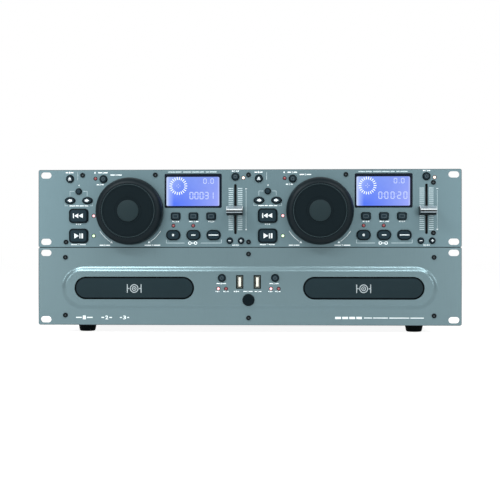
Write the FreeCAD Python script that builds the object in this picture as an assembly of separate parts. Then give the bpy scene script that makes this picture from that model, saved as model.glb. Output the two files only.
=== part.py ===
import FreeCAD, Part
import math
import os

# A dual disc player for a DJ's rack, in two rack cases, one standing on the other. The lower case is the
# player, with two disc trays. The upper case is the controller, with two like decks of a jog wheel, a
# display, a pitch fader and sixteen buttons.
# Units are millimetres. +X is to the right, -Y is the front and +Z is up. The origin is at the middle of
# the whole object's box in X and Y, and on the surface that the feet stand on.

Vec = FreeCAD.Vector

# ---------------------------------------------------------------- driving dimensions: both cases
PANEL_WIDTH = 482.6
PANEL_HEIGHT = 88.8
PANEL_THICKNESS = 3.0
PANEL_CORNER = 2.0
PANEL_EDGE = 0.5           # bevel round a panel's front face
RACK_SPAN_X = 465.1        # between the rack slots' centres
RACK_SPAN_Z = 76.2
RACK_SLOT_LENGTH = 12.4
RACK_SLOT_WIDTH = 7.2
SHEET = 1.2                # steel sheet of both cases
CASE_WIDTH = 435.0
CASE_INSET = 2.0           # a case's top and bottom lie this far inside its panel's edges
PLAYER_DEPTH = 255.0       # from the panel's back to the rear wall's outside
CONTROL_DEPTH = 55.0

# ---------------------------------------------------------------- driving dimensions: fits
BUTTON_CLEARANCE = 0.3     # round a button in its hole
RUNNING_CLEARANCE = 0.3    # between a tray and its rails
PIVOT_CLEARANCE = 0.06     # a shaft in its bush
SEAT_CLEARANCE = 0.15      # round a fixed piece in its cut-out
DOOR_CLEARANCE = 1.0       # round a tray door in its opening

# ---------------------------------------------------------------- driving dimensions: feet and pads
FOOT_HEIGHT = 11.0
FOOT_TOP_RADIUS = 11.1
FOOT_BASE_RADIUS = 8.9
FOOT_EDGE = 1.8
FOOT_X = 191.0
FOOT_FRONT = 36.0          # behind the panel's front face
FOOT_REAR = 222.0
PAD_RADIUS = 6.0
PAD_FRONT = 12.0
PAD_REAR = 48.0

# ---------------------------------------------------------------- driving dimensions: controller decks
DECK_OFFSET = 108.3        # a deck's own middle is this far from the controller's middle
# Each place on a deck is (x from the deck's middle, z above the panel's lower edge).
EJECT_AT = (-96.5, 78.4)
JOG_MODE_AT = (-58.0, 78.1)
FOLDER_AT = (-86.5, 64.0)
TRACK_BACK_AT = (-96.4, 53.5)
TRACK_FORWARD_AT = (-76.4, 53.5)
CUE_AT = (-86.5, 36.1)
PLAY_AT = (-86.5, 13.1)
TIME_AT = (25.0, 35.4)
REPEAT_AT = (45.3, 35.4)
PROGRAM_AT = (65.6, 35.4)
LOOP_IN_AT = (22.3, 14.0)
LOOP_OUT_AT = (45.4, 14.0)
RELOOP_AT = (68.4, 14.0)
PITCH_RANGE_AT = (93.3, 80.5)
BEND_DOWN_AT = (86.9, 7.5)
BEND_UP_AT = (99.8, 7.5)
JOG_MODE_LED_AT = (-67.2, 78.6)
CUE_LED_AT = (-69.2, 36.0)
PLAY_LED_AT = (-69.2, 13.1)
LOOP_IN_LED_AT = (22.4, 24.7)
LOOP_OUT_LED_AT = (45.1, 24.7)
PITCH_LED_AT = (102.4, 79.2)
JOG_AT = (-27.2, 41.2)
DISPLAY_AT = (45.0, 64.5)
FADER_AT = (93.3, 43.6)

ROUND_BUTTON = 9.4
SMALL_BUTTON = 7.8
OVAL_LENGTH = 12.6
OVAL_HEIGHT = 8.4
KEY_LENGTH = 22.6          # the cue and play keys
KEY_HEIGHT = 16.8
KEY_CORNER = 4.4
SQUARE_LENGTH = 11.3
SQUARE_HEIGHT = 9.1
SQUARE_CORNER = 2.2
LOOP_LENGTH = 16.6
LOOP_HEIGHT = 12.0
LOOP_CORNER = 5.6
BUTTON_PROUD = 2.6         # a button's face stands this far out of its panel
BUTTON_BEVEL = 0.7
BUTTON_TRAVEL = 0.8
KEY_TRAVEL = 1.0
EAR = 1.0                  # a button's two retaining ears, their reach and their thickness
EAR_HEIGHT = 4.0
STEM = 3.0

JOG_RADIUS = 38.3
JOG_FACE_RADIUS = 30.6
JOG_CAP_RADIUS = 12.4
JOG_REACH = 20.0           # from the panel's front face to the wheel's face
JOG_GAP = 1.2              # under the wheel's skirt
JOG_WALL = 2.4
JOG_SKIRT = 5.5
JOG_PLATE = 1.2
JOG_CAP = 1.0
JOG_HUB_RADIUS = 9.0
JOG_SHAFT_RADIUS = 3.0
JOG_SHAFT_END = 2.0        # from the shaft's end to the board
JOG_BUSH_RADIUS = 6.0
JOG_BUSH_FLOOR = 1.0
JOG_BUSH_PROUD = 0.8
JOG_HUB_GAP = 1.4
JOG_PLATE_CLEARANCE = 0.2
JOG_BEAD = 0.9             # the rim's narrow top edge round the touch plate
JOG_BEAD_SINK = 0.3        # below the plate's face
JOG_ROUND = 1.9            # how far the rim's side bulges
JOG_CAP_BEVEL = 0.4

DISPLAY_WIDTH = 65.5
DISPLAY_HEIGHT = 39.1
DISPLAY_CORNER = 1.6
LCD_WIDTH = 60.5
LCD_HEIGHT = 33.2
LCD_SHIFT = (-0.4, -0.6)   # the glass lies this far from the display's middle
DISPLAY_LIP_X = 1.4
DISPLAY_LIP_Z = 0.9
DISPLAY_FLANGE = 1.2
DISPLAY_SINK = 0.3
GLASS_SINK = 0.4
GLASS = 0.8

FADER_SLOT_WIDTH = 2.9
FADER_TRAVEL = 45.0
FADER_REST = -2.4          # the knob's place, from the middle of its slot
FADER_SLOT_SPARE = 3.1     # from the lever at its limit to the slot's end
FADER_LENGTH = 18.2        # across the slot
FADER_HEIGHT = 10.4        # along the slot
FADER_RIDGE_LENGTH = 14.8
FADER_RIDGE_HEIGHT = 3.2
FADER_REACH = 24.0
FADER_SHOULDER = 16.5      # from the panel's front face to where the knob begins to slope
FADER_GAP = 3.0
FADER_LEVER = 1.6
FADER_LEVER_HEIGHT = 6.0
FADER_LEVER_GRIP = 8.0     # how far the lever reaches into the knob
FADER_BODY_WIDTH = 9.0
FADER_BODY_LENGTH = 61.0
FADER_BODY_GAP = 2.5       # from the panel's back to the slide control
FADER_BODY_WALL = 1.0
FADER_LEVER_END = 2.0      # from the lever's end to the board
FADER_CORNER = 0.8

LED_RADIUS = 1.5
LED_PROUD = 0.9
LED_ROUND = 0.6            # how much of the lamp's tip is rounded
LED_FLANGE = 0.4

# ---------------------------------------------------------------- driving dimensions: circuit boards
BOARD_FRONT = 12.0         # from a panel's front face to the front of the board behind it
BOARD = 1.6
SWITCH = 6.0
SWITCH_HEIGHT = 3.5
PLUNGER_RADIUS = 1.7
PLUNGER = 0.8
SWITCH_SLACK = 0.2
BOARD_MARGIN = 1.0
PILLAR_RADIUS = 2.5
PILLARS = ((-52.0, 62.0), (-52.0, 18.0), (-2.0, 18.0), (83.9, 30.0))
PILLAR_INSET = 5.0
FRONT_BOARD_X = 52.0
FRONT_BOARD_Z = (22.0, 63.0)   # above the player panel's lower edge
MAIN_BOARD_X = 52.0
MAIN_BOARD_Y = (60.0, 236.0)
BOARD_STAND = 7.0
TRANSFORMER = (66.0, 54.0, 46.0)
CAN_RADIUS = 9.0
CAN_HEIGHT = 34.0
CAN_PITCH = 24.0
CAN_ROW = 30.0

# ---------------------------------------------------------------- driving dimensions: player front
RAISE = 2.5                # the long raised field stands this far out of the panel
RAISE_LENGTH = 428.6
RAISE_HEIGHT = 49.2
RAISE_SLOPE = 5.5          # width of the raised field's sloping edge
RAISE_Z = 42.4             # middle of the field and of the trays, above the panel's lower edge
TRAY_X = 130.6
DOOR_OPENING_LENGTH = 137.3
DOOR_OPENING_HEIGHT = 25.9
DOOR_THICKNESS = 4.0
DOOR_SINK = 0.3
DOOR_BEVEL = 0.8
POWER_BUTTON = 14.0
POWER_AT = (0.0, 28.9)
POWER_TRAVEL = 2.5
SOURCE_AT = (30.3, 54.0)
SOURCE_LED_AT = ((25.6, 41.7), (34.3, 41.7))
USB_AT = (10.0, 49.4)
USB_OPENING = (8.4, 15.6)
USB_SHELL = (5.7, 13.1)
USB_WALL = 0.4
USB_TONGUE = 1.9
USB_TONGUE_SHIFT = -0.9
USB_SINK = 0.4
USB_TONGUE_SINK = 0.8
USB_TONGUE_MARGIN = 1.3

# ---------------------------------------------------------------- driving dimensions: trays and drives
TRAY_WIDTH = 132.0
TRAY_THICKNESS = 4.0
TRAY_LENGTH = 192.0
TRAY_DROP = 5.0            # the tray's underside lies this far below the door's middle
TRAY_TRAVEL = 138.0
TRAY_EDGE = 3.0            # from the tray's front wall to the disc recess
TRAY_FRONT_WALL = (110.0, 2.5, 15.0)
DISC_RECESS_RADIUS = 61.0
DISC_RECESS = 1.8
SMALL_DISC_RADIUS = 41.0
SMALL_DISC_RECESS = 0.8
PICKUP_WINDOW = (44.0, 70.0)
PICKUP_WINDOW_START = -20.0
GRIP_NOTCH_RADIUS = 11.0
RAIL_REACH = 2.5           # how far a tray's edge runs in its rail
RAIL_WALL = 3.7
RAIL_TOP = 14.0            # above the tray's underside
FRAME_START = 6.0          # behind the panel's front face
FRAME_LENGTH = 196.0
FRAME_BASE = 2.0
FRAME_DROP = 10.0          # the drive's base lies this far below the tray's underside
GEAR_MODULE = 1.25
GEAR_TEETH = 18
GEAR_WIDTH = 4.0
GEAR_POST_RADIUS = 2.0
GEAR_X = -33.0             # from the tray's middle
GEAR_Y = 26.0              # behind the panel's front face
GEAR_GAP = 0.4             # under the tray
GEAR_HUB_RADIUS = 4.5
GEAR_HUB = 1.5
PRESSURE_ANGLE = 20.0
DEDENDUM = 1.25            # of the module
BACKLASH = 0.5
FLANK_POINTS = 4
RACK_BACK = 2.5
RACK_START = 14.0          # behind the panel's front face
RACK_OVERRUN = 9.0         # past the tray's travel
BRIDGE_WIDTH = 40.0
BRIDGE = 1.6
CLAMP_RADIUS = 14.0
CLAMP_FLANGE = 17.0
TURNTABLE_RADIUS = 14.5
SPINDLE_CONE_RADIUS = 7.3
SPINDLE_SHAFT_RADIUS = 1.5
SPINDLE_TOP = 0.5          # below the tray's underside
SPINDLE_CONE = 1.5
SPINDLE_CONE_TOP = 6.4     # the cone's top radius
SPINDLE_SHAFT_END = 2.0    # from the shaft's end to the motor's underside
MOTOR_FLOOR = 1.0
SPINDLE_NECK = 4.0
TURNTABLE = 1.6
MOTOR_RADIUS = 12.0
MOTOR_HEIGHT = 10.0
LEG_RADIUS = 4.0
LEG_INSET = 5.0
CLAMP_DROP = 6.0
CLAMP_THICKNESS = 1.4
SLED_TRAVEL = 46.0
SLED_WINDOW = 30.0
SLED = (24.0, 16.0, 7.0)
LENS_RADIUS = 4.0
LENS_HEIGHT = 1.2
ROD_RADIUS = 1.5
ROD_SPREAD = 9.0
ROD_DROP = 4.0
ROD_END = 4.0
ROD_CLIP = 3.0
REAR_CUT = 70.0
TRAY_REAR_WEB = 10.0

# ---------------------------------------------------------------- driving dimensions: rear and fasteners
SCREW_HEAD_RADIUS = 2.75
SCREW_HEAD = 1.7
SCREW_SHANK_RADIUS = 1.25
SCREW_LENGTH = 8.0
SCREW_BEVEL = 0.7
SCREW_SOCKET = 2.2         # across the flats
SCREW_SOCKET_DEPTH = 1.1
SCREW_HOLE_RADIUS = 1.7
TAB = 3.0                  # half width of a screw tab
TAB_THICKNESS = 1.5
THREAD_CLEARANCE = 0.1
CONTROL_SCREWS = (
    (-190.3, 82.6, "top"), (-106.6, 82.8, "top"), (0.0, 82.6, "top"), (110.6, 82.8, "top"),
    (0.0, 6.1, "bottom"), (-209.4, 6.1, "left"), (209.4, 73.5, "right"), (209.4, 16.3, "right"),
)
PLAYER_SCREWS = ((-210.1, 77.4), (210.1, 77.4), (-210.1, 11.2), (210.1, 11.2), (0.0, 81.2), (0.0, 8.4))
COVER_SCREW_Y = (30.0, 130.0, 230.0)
COVER_SCREW_Z = 8.0        # above the case's floor
CHASSIS_FLANGE = 16.0
RCA_REACH = 9.0
RCA_RADIUS = 4.2
RCA_BASE_RADIUS = 5.6
RCA_BASE = 2.0
RCA_PIN_RADIUS = 1.6
RCA_PIN_DEPTH = 7.0
RCA_BODY = 9.0
RCA_SPREAD = 9.0
RCA_X = (78.0, 100.0, 122.0)
RCA_Z = 52.0
DIN_RADIUS = 6.8
DIN_REACH = 1.5
DIN_BORE_RADIUS = 4.9
DIN_CORE_RADIUS = 3.6
DIN_CORE_SINK = 0.8
DIN_BORE_DEPTH = 6.0
REMOTE_Z = 24.0            # the same sockets on the controller, above its lower edge
DIN_X = 40.0
DIN_Z = 48.0
INLET_X = -185.0
INLET_Z = 45.0
INLET_OPENING = (24.4, 16.6)
INLET_WALL = 1.6
INLET_FLANGE = (50.0, 24.0, 2.0)
INLET_DEPTH = 20.0
INLET_PIN = (2.0, 4.0, 13.0)
INLET_PIN_SPREAD = 7.0
INLET_PIN_DROP = 2.0
VENT_COUNT = 12
VENT_PITCH = 8.0
VENT_WIDTH = 3.0
VENT_HEIGHT = 34.0
VENT_START = 120.0
CUT = 1.0                  # how far a cutting shape runs past what it cuts

SAME_POINT = 1e-6          # points nearer than this are one

# ---------------------------------------------------------------- sizes that follow
FADER_SLOT = FADER_TRAVEL + FADER_LEVER_HEIGHT + 2 * FADER_SLOT_SPARE
RCA_BACK = PANEL_THICKNESS + PLAYER_DEPTH + RCA_REACH
FACE_Y = (max(FADER_REACH, JOG_REACH) - RCA_BACK) / 2       # the panels' front face
PLAYER_Z = FOOT_HEIGHT - CASE_INSET                         # the player panel's lower edge
CONTROL_Z = PLAYER_Z + PANEL_HEIGHT                         # the control panel rests on the player's
HALF_CASE = CASE_WIDTH / 2
PAD_HEIGHT = 2 * CASE_INSET
FLOOR_Z = FOOT_HEIGHT + SHEET                               # inside the player
PLAYER_TOP = PLAYER_Z + PANEL_HEIGHT - CASE_INSET
TRAY_Z = PLAYER_Z + RAISE_Z - TRAY_DROP                     # the tray's underside
FIELD_BACK = PANEL_THICKNESS - RAISE                        # behind the raised field's wall
TRAY_FRONT = -RAISE + DOOR_SINK + DOOR_THICKNESS            # the tray's front end, from the panel's face
DISC_Y = TRAY_FRONT + TRAY_FRONT_WALL[1] + TRAY_EDGE + DISC_RECESS_RADIUS
GEAR_RADIUS = GEAR_MODULE * GEAR_TEETH / 2
TOOTH_PITCH = math.pi * GEAR_MODULE


# ---------------------------------------------------------------- shapes
def block(x0, x1, y0, y1, z0, z1):
    """A box between two corners; y is counted from the panels' front face."""
    return Part.makeBox(x1 - x0, y1 - y0, z1 - z0, Vec(x0, FACE_Y + y0, z0))


def rod_y(x, z, radius, y0, y1):
    """A round bar that runs from front to back."""
    return Part.makeCylinder(radius, y1 - y0, Vec(x, FACE_Y + y0, z), Vec(0, 1, 0))


def rod_z(x, y, radius, z0, z1):
    """An upright round bar."""
    return Part.makeCylinder(radius, z1 - z0, Vec(x, FACE_Y + y, z0))


def rod_x(x0, x1, y, z, radius):
    """A round bar that runs from left to right."""
    return Part.makeCylinder(radius, x1 - x0, Vec(x0, FACE_Y + y, z), Vec(1, 0, 0))


class Outline:
    """A closed outline that faces the front: a circle, an ellipse or a rectangle with round corners."""

    def __init__(self, length, height=None, corner=None):
        self.length = length
        self.height = length if height is None else height
        self.corner = corner
        self.is_circle = height is None
        self.is_oval = height is not None and corner is None

    def wire(self, x, y, z, grow=0.0):
        """The outline round (x, z) at depth y, moved outwards by grow."""
        a, b = self.length / 2 + grow, self.height / 2 + grow
        middle = Vec(x, FACE_Y + y, z)
        if self.is_circle:
            return Part.Wire(Part.makeCircle(a, middle, Vec(0, 1, 0)))
        if self.is_oval:
            ellipse = Part.Ellipse(middle + Vec(a, 0, 0), middle + Vec(0, 0, b), middle)
            return Part.Wire(ellipse.toShape())
        return rounded_wire(middle, a, b, min(self.corner + grow, a, b))

    def prism(self, x, z, y0, y1, grow=0.0):
        """The outline as a solid between two depths."""
        return Part.Face(self.wire(x, y0, z, grow)).extrude(Vec(0, y1 - y0, 0))


def rounded_wire(middle, a, b, radius):
    """A rectangle of half sizes a and b with round corners, in the plane that faces the front."""
    edges, last, first = [], None, None
    for turn, (sx, sz) in enumerate(((1, 1), (-1, 1), (-1, -1), (1, -1))):
        centre = middle + Vec(sx * (a - radius), 0, sz * (b - radius))
        start, half, end = (
            centre + Vec(radius * math.cos(t), 0, radius * math.sin(t))
            for t in (math.radians(90 * turn + step) for step in (0, 45, 90))
        )
        if last is not None and last.distanceToPoint(start) > SAME_POINT:
            edges.append(Part.LineSegment(last, start).toShape())
        edges.append(Part.Arc(start, half, end).toShape())
        first = first or start
        last = end
    if last.distanceToPoint(first) > SAME_POINT:
        edges.append(Part.LineSegment(last, first).toShape())
    return Part.Wire(edges)


def loft(*wires):
    """A solid with straight sides through closed wires of one kind."""
    return Part.makeLoft(list(wires), True, True)


def spin(points, x, z):
    """A solid of revolution about the front-to-back line through (x, z), from (radius, y) points."""
    corners = [Vec(x + r, FACE_Y + y, z) for r, y in points]
    face = Part.Face(Part.makePolygon(corners + corners[:1]))
    return face.revolve(Vec(x, 0, z), Vec(0, 1, 0), 360)


def spin_z(points, x, y):
    """A solid of revolution about the upright line through (x, y), from (radius, z) points."""
    corners = [Vec(x + r, FACE_Y + y, z) for r, z in points]
    face = Part.Face(Part.makePolygon(corners + corners[:1]))
    return face.revolve(Vec(x, FACE_Y + y, 0), Vec(0, 0, 1), 360)


def fuse(shapes):
    """One clean solid from shapes that overlap or touch."""
    first, *rest = shapes
    return first.fuse(rest).removeSplitter()


def save(node, *solids):
    """Writes one node's solids to its STEP file."""
    shape = solids[0] if len(solids) == 1 else Part.makeCompound(list(solids))
    shape.exportStep(os.path.join("parts", node + ".step"))


# ---------------------------------------------------------------- what both panels share
ROUND = Outline(ROUND_BUTTON)
SMALL = Outline(SMALL_BUTTON)
OVAL = Outline(OVAL_LENGTH, OVAL_HEIGHT)
KEY = Outline(KEY_LENGTH, KEY_HEIGHT, KEY_CORNER)
SQUARE = Outline(SQUARE_LENGTH, SQUARE_HEIGHT, SQUARE_CORNER)
LOOP = Outline(LOOP_LENGTH, LOOP_HEIGHT, LOOP_CORNER)
POWER = Outline(POWER_BUTTON)
DOOR = Outline(DOOR_OPENING_LENGTH, DOOR_OPENING_HEIGHT, DOOR_OPENING_HEIGHT / 2)
FIELD = Outline(RAISE_LENGTH, RAISE_HEIGHT, RAISE_HEIGHT / 2)
DISPLAY = Outline(DISPLAY_WIDTH, DISPLAY_HEIGHT, DISPLAY_CORNER)
RACK_SLOT = Outline(RACK_SLOT_LENGTH, RACK_SLOT_WIDTH, RACK_SLOT_WIDTH / 2)
FADER_HOLE = Outline(FADER_SLOT_WIDTH, FADER_SLOT, FADER_SLOT_WIDTH / 2)

DECK_BUTTONS = {
    "eject_button": (ROUND, EJECT_AT), "jog_mode_button": (ROUND, JOG_MODE_AT),
    "folder_button": (SMALL, FOLDER_AT), "track_back_button": (OVAL, TRACK_BACK_AT),
    "track_forward_button": (OVAL, TRACK_FORWARD_AT), "cue_button": (KEY, CUE_AT),
    "play_button": (KEY, PLAY_AT), "time_button": (SQUARE, TIME_AT),
    "repeat_button": (SQUARE, REPEAT_AT), "program_button": (SQUARE, PROGRAM_AT),
    "loop_in_button": (LOOP, LOOP_IN_AT), "loop_out_button": (LOOP, LOOP_OUT_AT),
    "reloop_button": (LOOP, RELOOP_AT), "pitch_range_button": (ROUND, PITCH_RANGE_AT),
    "bend_down_button": (SMALL, BEND_DOWN_AT), "bend_up_button": (SMALL, BEND_UP_AT),
}
DECK_LEDS = (JOG_MODE_LED_AT, CUE_LED_AT, PLAY_LED_AT, LOOP_IN_LED_AT, LOOP_OUT_LED_AT, PITCH_LED_AT)
DECKS = (("left", -DECK_OFFSET), ("right", DECK_OFFSET))
DRIVES = (("left", -TRAY_X), ("right", TRAY_X))


def on_deck(middle, place):
    """A deck's place as (x, z) in the whole object."""
    return middle + place[0], CONTROL_Z + place[1]


def on_player(place):
    """A place on the player's panel as (x, z) in the whole object."""
    return place[0], PLAYER_Z + place[1]


def rack_plate(lower_edge):
    """A rack panel's plate with a bevelled front edge, and the cuts of its four slots."""
    plate = Outline(PANEL_WIDTH, PANEL_HEIGHT, PANEL_CORNER)
    middle = lower_edge + PANEL_HEIGHT / 2
    slots = [
        RACK_SLOT.prism(sx * RACK_SPAN_X / 2, middle + sz * RACK_SPAN_Z / 2, -CUT, PANEL_THICKNESS + CUT)
        for sx in (-1, 1) for sz in (-1, 1)
    ]
    bevel = loft(plate.wire(0, 0, middle, -PANEL_EDGE), plate.wire(0, PANEL_EDGE, middle))
    return fuse([bevel, plate.prism(0, middle, PANEL_EDGE, PANEL_THICKNESS)]), slots


def button(outline, x, z, face, back, travel):
    """A button: a bevelled cap, two ears that hold it behind its panel, and a stem to its switch."""
    front = face - BUTTON_PROUD
    ear_front = back + SWITCH_SLACK
    stem_end = BOARD_FRONT - SWITCH_HEIGHT - PLUNGER - SWITCH_SLACK - travel
    reach = outline.length / 2 + EAR
    cap = outline.prism(x, z, front + BUTTON_BEVEL, ear_front + EAR, -BUTTON_CLEARANCE)
    crown = loft(
        outline.wire(x, front + BUTTON_BEVEL, z, -BUTTON_CLEARANCE),
        outline.wire(x, front, z, -BUTTON_CLEARANCE - BUTTON_BEVEL),
    )
    ears = block(x - reach, x + reach, ear_front, ear_front + EAR, z - EAR_HEIGHT / 2, z + EAR_HEIGHT / 2)
    stem = block(x - STEM / 2, x + STEM / 2, ear_front + EAR, stem_end, z - STEM / 2, z + STEM / 2)
    return fuse([cap, crown, ears, stem])


def led(x, z, face, back):
    """A light-emitting diode with its flange behind the panel and its legs' block on the board."""
    tip = face - LED_PROUD
    foot = LED_RADIUS + LED_FLANGE
    points = (
        (0, tip), (LED_RADIUS - LED_ROUND, tip), (LED_RADIUS, tip + LED_ROUND),
        (LED_RADIUS, back + SWITCH_SLACK), (foot, back + SWITCH_SLACK), (foot, BOARD_FRONT),
        (0, BOARD_FRONT),
    )
    return spin(points, x, z)


def tact_switch(x, z):
    """A push switch on the front of a board."""
    top = BOARD_FRONT - SWITCH_HEIGHT
    half = SWITCH / 2
    return [
        block(x - half, x + half, top, BOARD_FRONT, z - half, z + half),
        rod_y(x, z, PLUNGER_RADIUS, top - PLUNGER, top),
    ]


def screw(place, inward):
    """A socket head screw; its head's seat is at place, and its shank points inward."""
    side = Vec(0, 0, 1)
    across = inward.cross(side)
    drum = SCREW_HEAD - SCREW_BEVEL
    head = Part.makeCylinder(SCREW_HEAD_RADIUS, drum, place, -inward)
    crown = Part.makeCone(
        SCREW_HEAD_RADIUS, SCREW_HEAD_RADIUS - SCREW_BEVEL, SCREW_BEVEL, place - inward * drum, -inward)
    shank = Part.makeCylinder(SCREW_SHANK_RADIUS, SCREW_LENGTH, place, inward)
    reach = SCREW_SOCKET / math.sqrt(3)
    mouth = place - inward * (SCREW_HEAD + CUT)
    corners = []
    for k in range(7):
        turn = math.radians(60 * k)
        corners.append(mouth + side * reach * math.sin(turn) + across * reach * math.cos(turn))
    socket = Part.Face(Part.makePolygon(corners)).extrude(inward * (SCREW_SOCKET_DEPTH + CUT))
    return fuse([head, crown, shank]).cut(socket)


# ---------------------------------------------------------------- the controller
def deck_places(middle):
    """Every through cut of one deck in the control panel."""
    cuts = [outline.prism(*on_deck(middle, at), -CUT, PANEL_THICKNESS + CUT)
            for outline, at in DECK_BUTTONS.values()]
    for at in DECK_LEDS:
        cuts.append(rod_y(*on_deck(middle, at), LED_RADIUS + SEAT_CLEARANCE, -CUT, PANEL_THICKNESS + CUT))
    bush_hole = JOG_BUSH_RADIUS + SEAT_CLEARANCE
    cuts.append(rod_y(*on_deck(middle, JOG_AT), bush_hole, -CUT, PANEL_THICKNESS + CUT))
    cuts.append(DISPLAY.prism(*on_deck(middle, DISPLAY_AT), -CUT, PANEL_THICKNESS + CUT))
    cuts.append(FADER_HOLE.prism(*on_deck(middle, FADER_AT), -CUT, PANEL_THICKNESS + CUT))
    return cuts


def screw_holes(places, lower_edge, radius, y0, y1):
    """Bars that cut the holes of one panel's screws."""
    return [rod_y(place[0], lower_edge + place[1], radius, y0, y1) for place in places]


def control_panel():
    """The controller's front plate."""
    plate, cuts = rack_plate(CONTROL_Z)
    cuts += screw_holes(CONTROL_SCREWS, CONTROL_Z, SCREW_HOLE_RADIUS, -CUT, PANEL_THICKNESS + CUT)
    for _, middle in DECKS:
        cuts += deck_places(middle)
    return plate.cut(cuts)


def screw_tab(x, z, kind, low, high):
    """A bent tab behind a panel, from the case's wall of that kind to just past the screw at (x, z)."""
    y0, y1 = PANEL_THICKNESS, PANEL_THICKNESS + TAB_THICKNESS
    wall = HALF_CASE - SHEET
    if kind == "top":
        return block(x - TAB, x + TAB, y0, y1, z - TAB, high)
    if kind == "bottom":
        return block(x - TAB, x + TAB, y0, y1, low, z + TAB)
    if kind == "left":
        return block(-wall, x + TAB, y0, y1, z - TAB, z + TAB)
    return block(x - TAB, wall, y0, y1, z - TAB, z + TAB)


def control_case():
    """The shallow sheet box behind the control panel, open towards it."""
    low, high = CONTROL_Z + CASE_INSET, CONTROL_Z + PANEL_HEIGHT - CASE_INSET
    y0, y1 = PANEL_THICKNESS, PANEL_THICKNESS + CONTROL_DEPTH
    box = block(-HALF_CASE, HALF_CASE, y0, y1, low, high)
    room = block(-HALF_CASE + SHEET, HALF_CASE - SHEET, y0 - CUT, y1 - SHEET, low + SHEET, high - SHEET)
    tabs = [screw_tab(x, CONTROL_Z + z, kind, low + SHEET, high - SHEET) for x, z, kind in CONTROL_SCREWS]
    thread = SCREW_SHANK_RADIUS + THREAD_CLEARANCE
    holes = screw_holes(CONTROL_SCREWS, CONTROL_Z, thread, y0 - CUT, y0 + TAB_THICKNESS + CUT)
    ports = [rod_y(x, CONTROL_Z + REMOTE_Z, DIN_RADIUS + SEAT_CLEARANCE, y1 - SHEET - CUT, y1 + CUT)
             for x in (-DIN_X, DIN_X)]
    return fuse([box.cut(room)] + tabs).cut(holes + ports)


def control_board():
    """The controller's circuit board with its pillars, switches, slide controls and wheel bushes."""
    inset = CASE_INSET + SHEET + BOARD_MARGIN
    side = HALF_CASE - SHEET - BOARD_MARGIN
    z0, z1 = CONTROL_Z + inset, CONTROL_Z + PANEL_HEIGHT - inset
    board = block(-side, side, BOARD_FRONT, BOARD_FRONT + BOARD, z0, z1)
    pieces = []
    for _, middle in DECKS:
        for _, at in DECK_BUTTONS.values():
            pieces += tact_switch(*on_deck(middle, at))
        for at in PILLARS:
            pieces.append(rod_y(*on_deck(middle, at), PILLAR_RADIUS, PANEL_THICKNESS, BOARD_FRONT))
        pieces.append(fader_body(*on_deck(middle, FADER_AT)))
        x, z = on_deck(middle, JOG_AT)
        bush = rod_y(x, z, JOG_BUSH_RADIUS, -JOG_BUSH_PROUD, BOARD_FRONT)
        bore = rod_y(x, z, JOG_SHAFT_RADIUS + PIVOT_CLEARANCE, -JOG_REACH, BOARD_FRONT - JOG_BUSH_FLOOR)
        pieces.append(bush.cut(bore))
    return fuse([board] + pieces)


def fader_body(x, z):
    """A slide control's long body, open in front for its lever."""
    front = PANEL_THICKNESS + FADER_BODY_GAP
    half_width, half_length = FADER_BODY_WIDTH / 2, FADER_BODY_LENGTH / 2
    body = block(x - half_width, x + half_width, front, BOARD_FRONT, z - half_length, z + half_length)
    return body.cut(FADER_HOLE.prism(x, z, front - CUT, BOARD_FRONT - FADER_BODY_WALL))


def display_modules():
    """Both displays: a frame in the panel, its glass, and the module between the glass and the board."""
    pieces = []
    for _, middle in DECKS:
        x, z = on_deck(middle, DISPLAY_AT)
        gx, gz = x + LCD_SHIFT[0], z + LCD_SHIFT[1]
        half_x, half_z = LCD_WIDTH / 2, LCD_HEIGHT / 2
        frame = DISPLAY.prism(x, z, DISPLAY_SINK, PANEL_THICKNESS, -SEAT_CLEARANCE)
        wide = Outline(DISPLAY_WIDTH + 2 * DISPLAY_LIP_X, DISPLAY_HEIGHT + 2 * DISPLAY_LIP_Z, DISPLAY_CORNER)
        flange = wide.prism(x, z, PANEL_THICKNESS, PANEL_THICKNESS + DISPLAY_FLANGE)
        end = PANEL_THICKNESS + DISPLAY_FLANGE
        window = block(gx - half_x, gx + half_x, -CUT, end + CUT, gz - half_z, gz + half_z)
        glass_front = DISPLAY_SINK + GLASS_SINK
        glass = block(gx - half_x, gx + half_x, glass_front, glass_front + GLASS, gz - half_z, gz + half_z)
        module = block(gx - half_x, gx + half_x, glass_front + GLASS, BOARD_FRONT, gz - half_z, gz + half_z)
        pieces += [fuse([frame, flange]).cut(window), glass, module]
    return pieces


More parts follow.
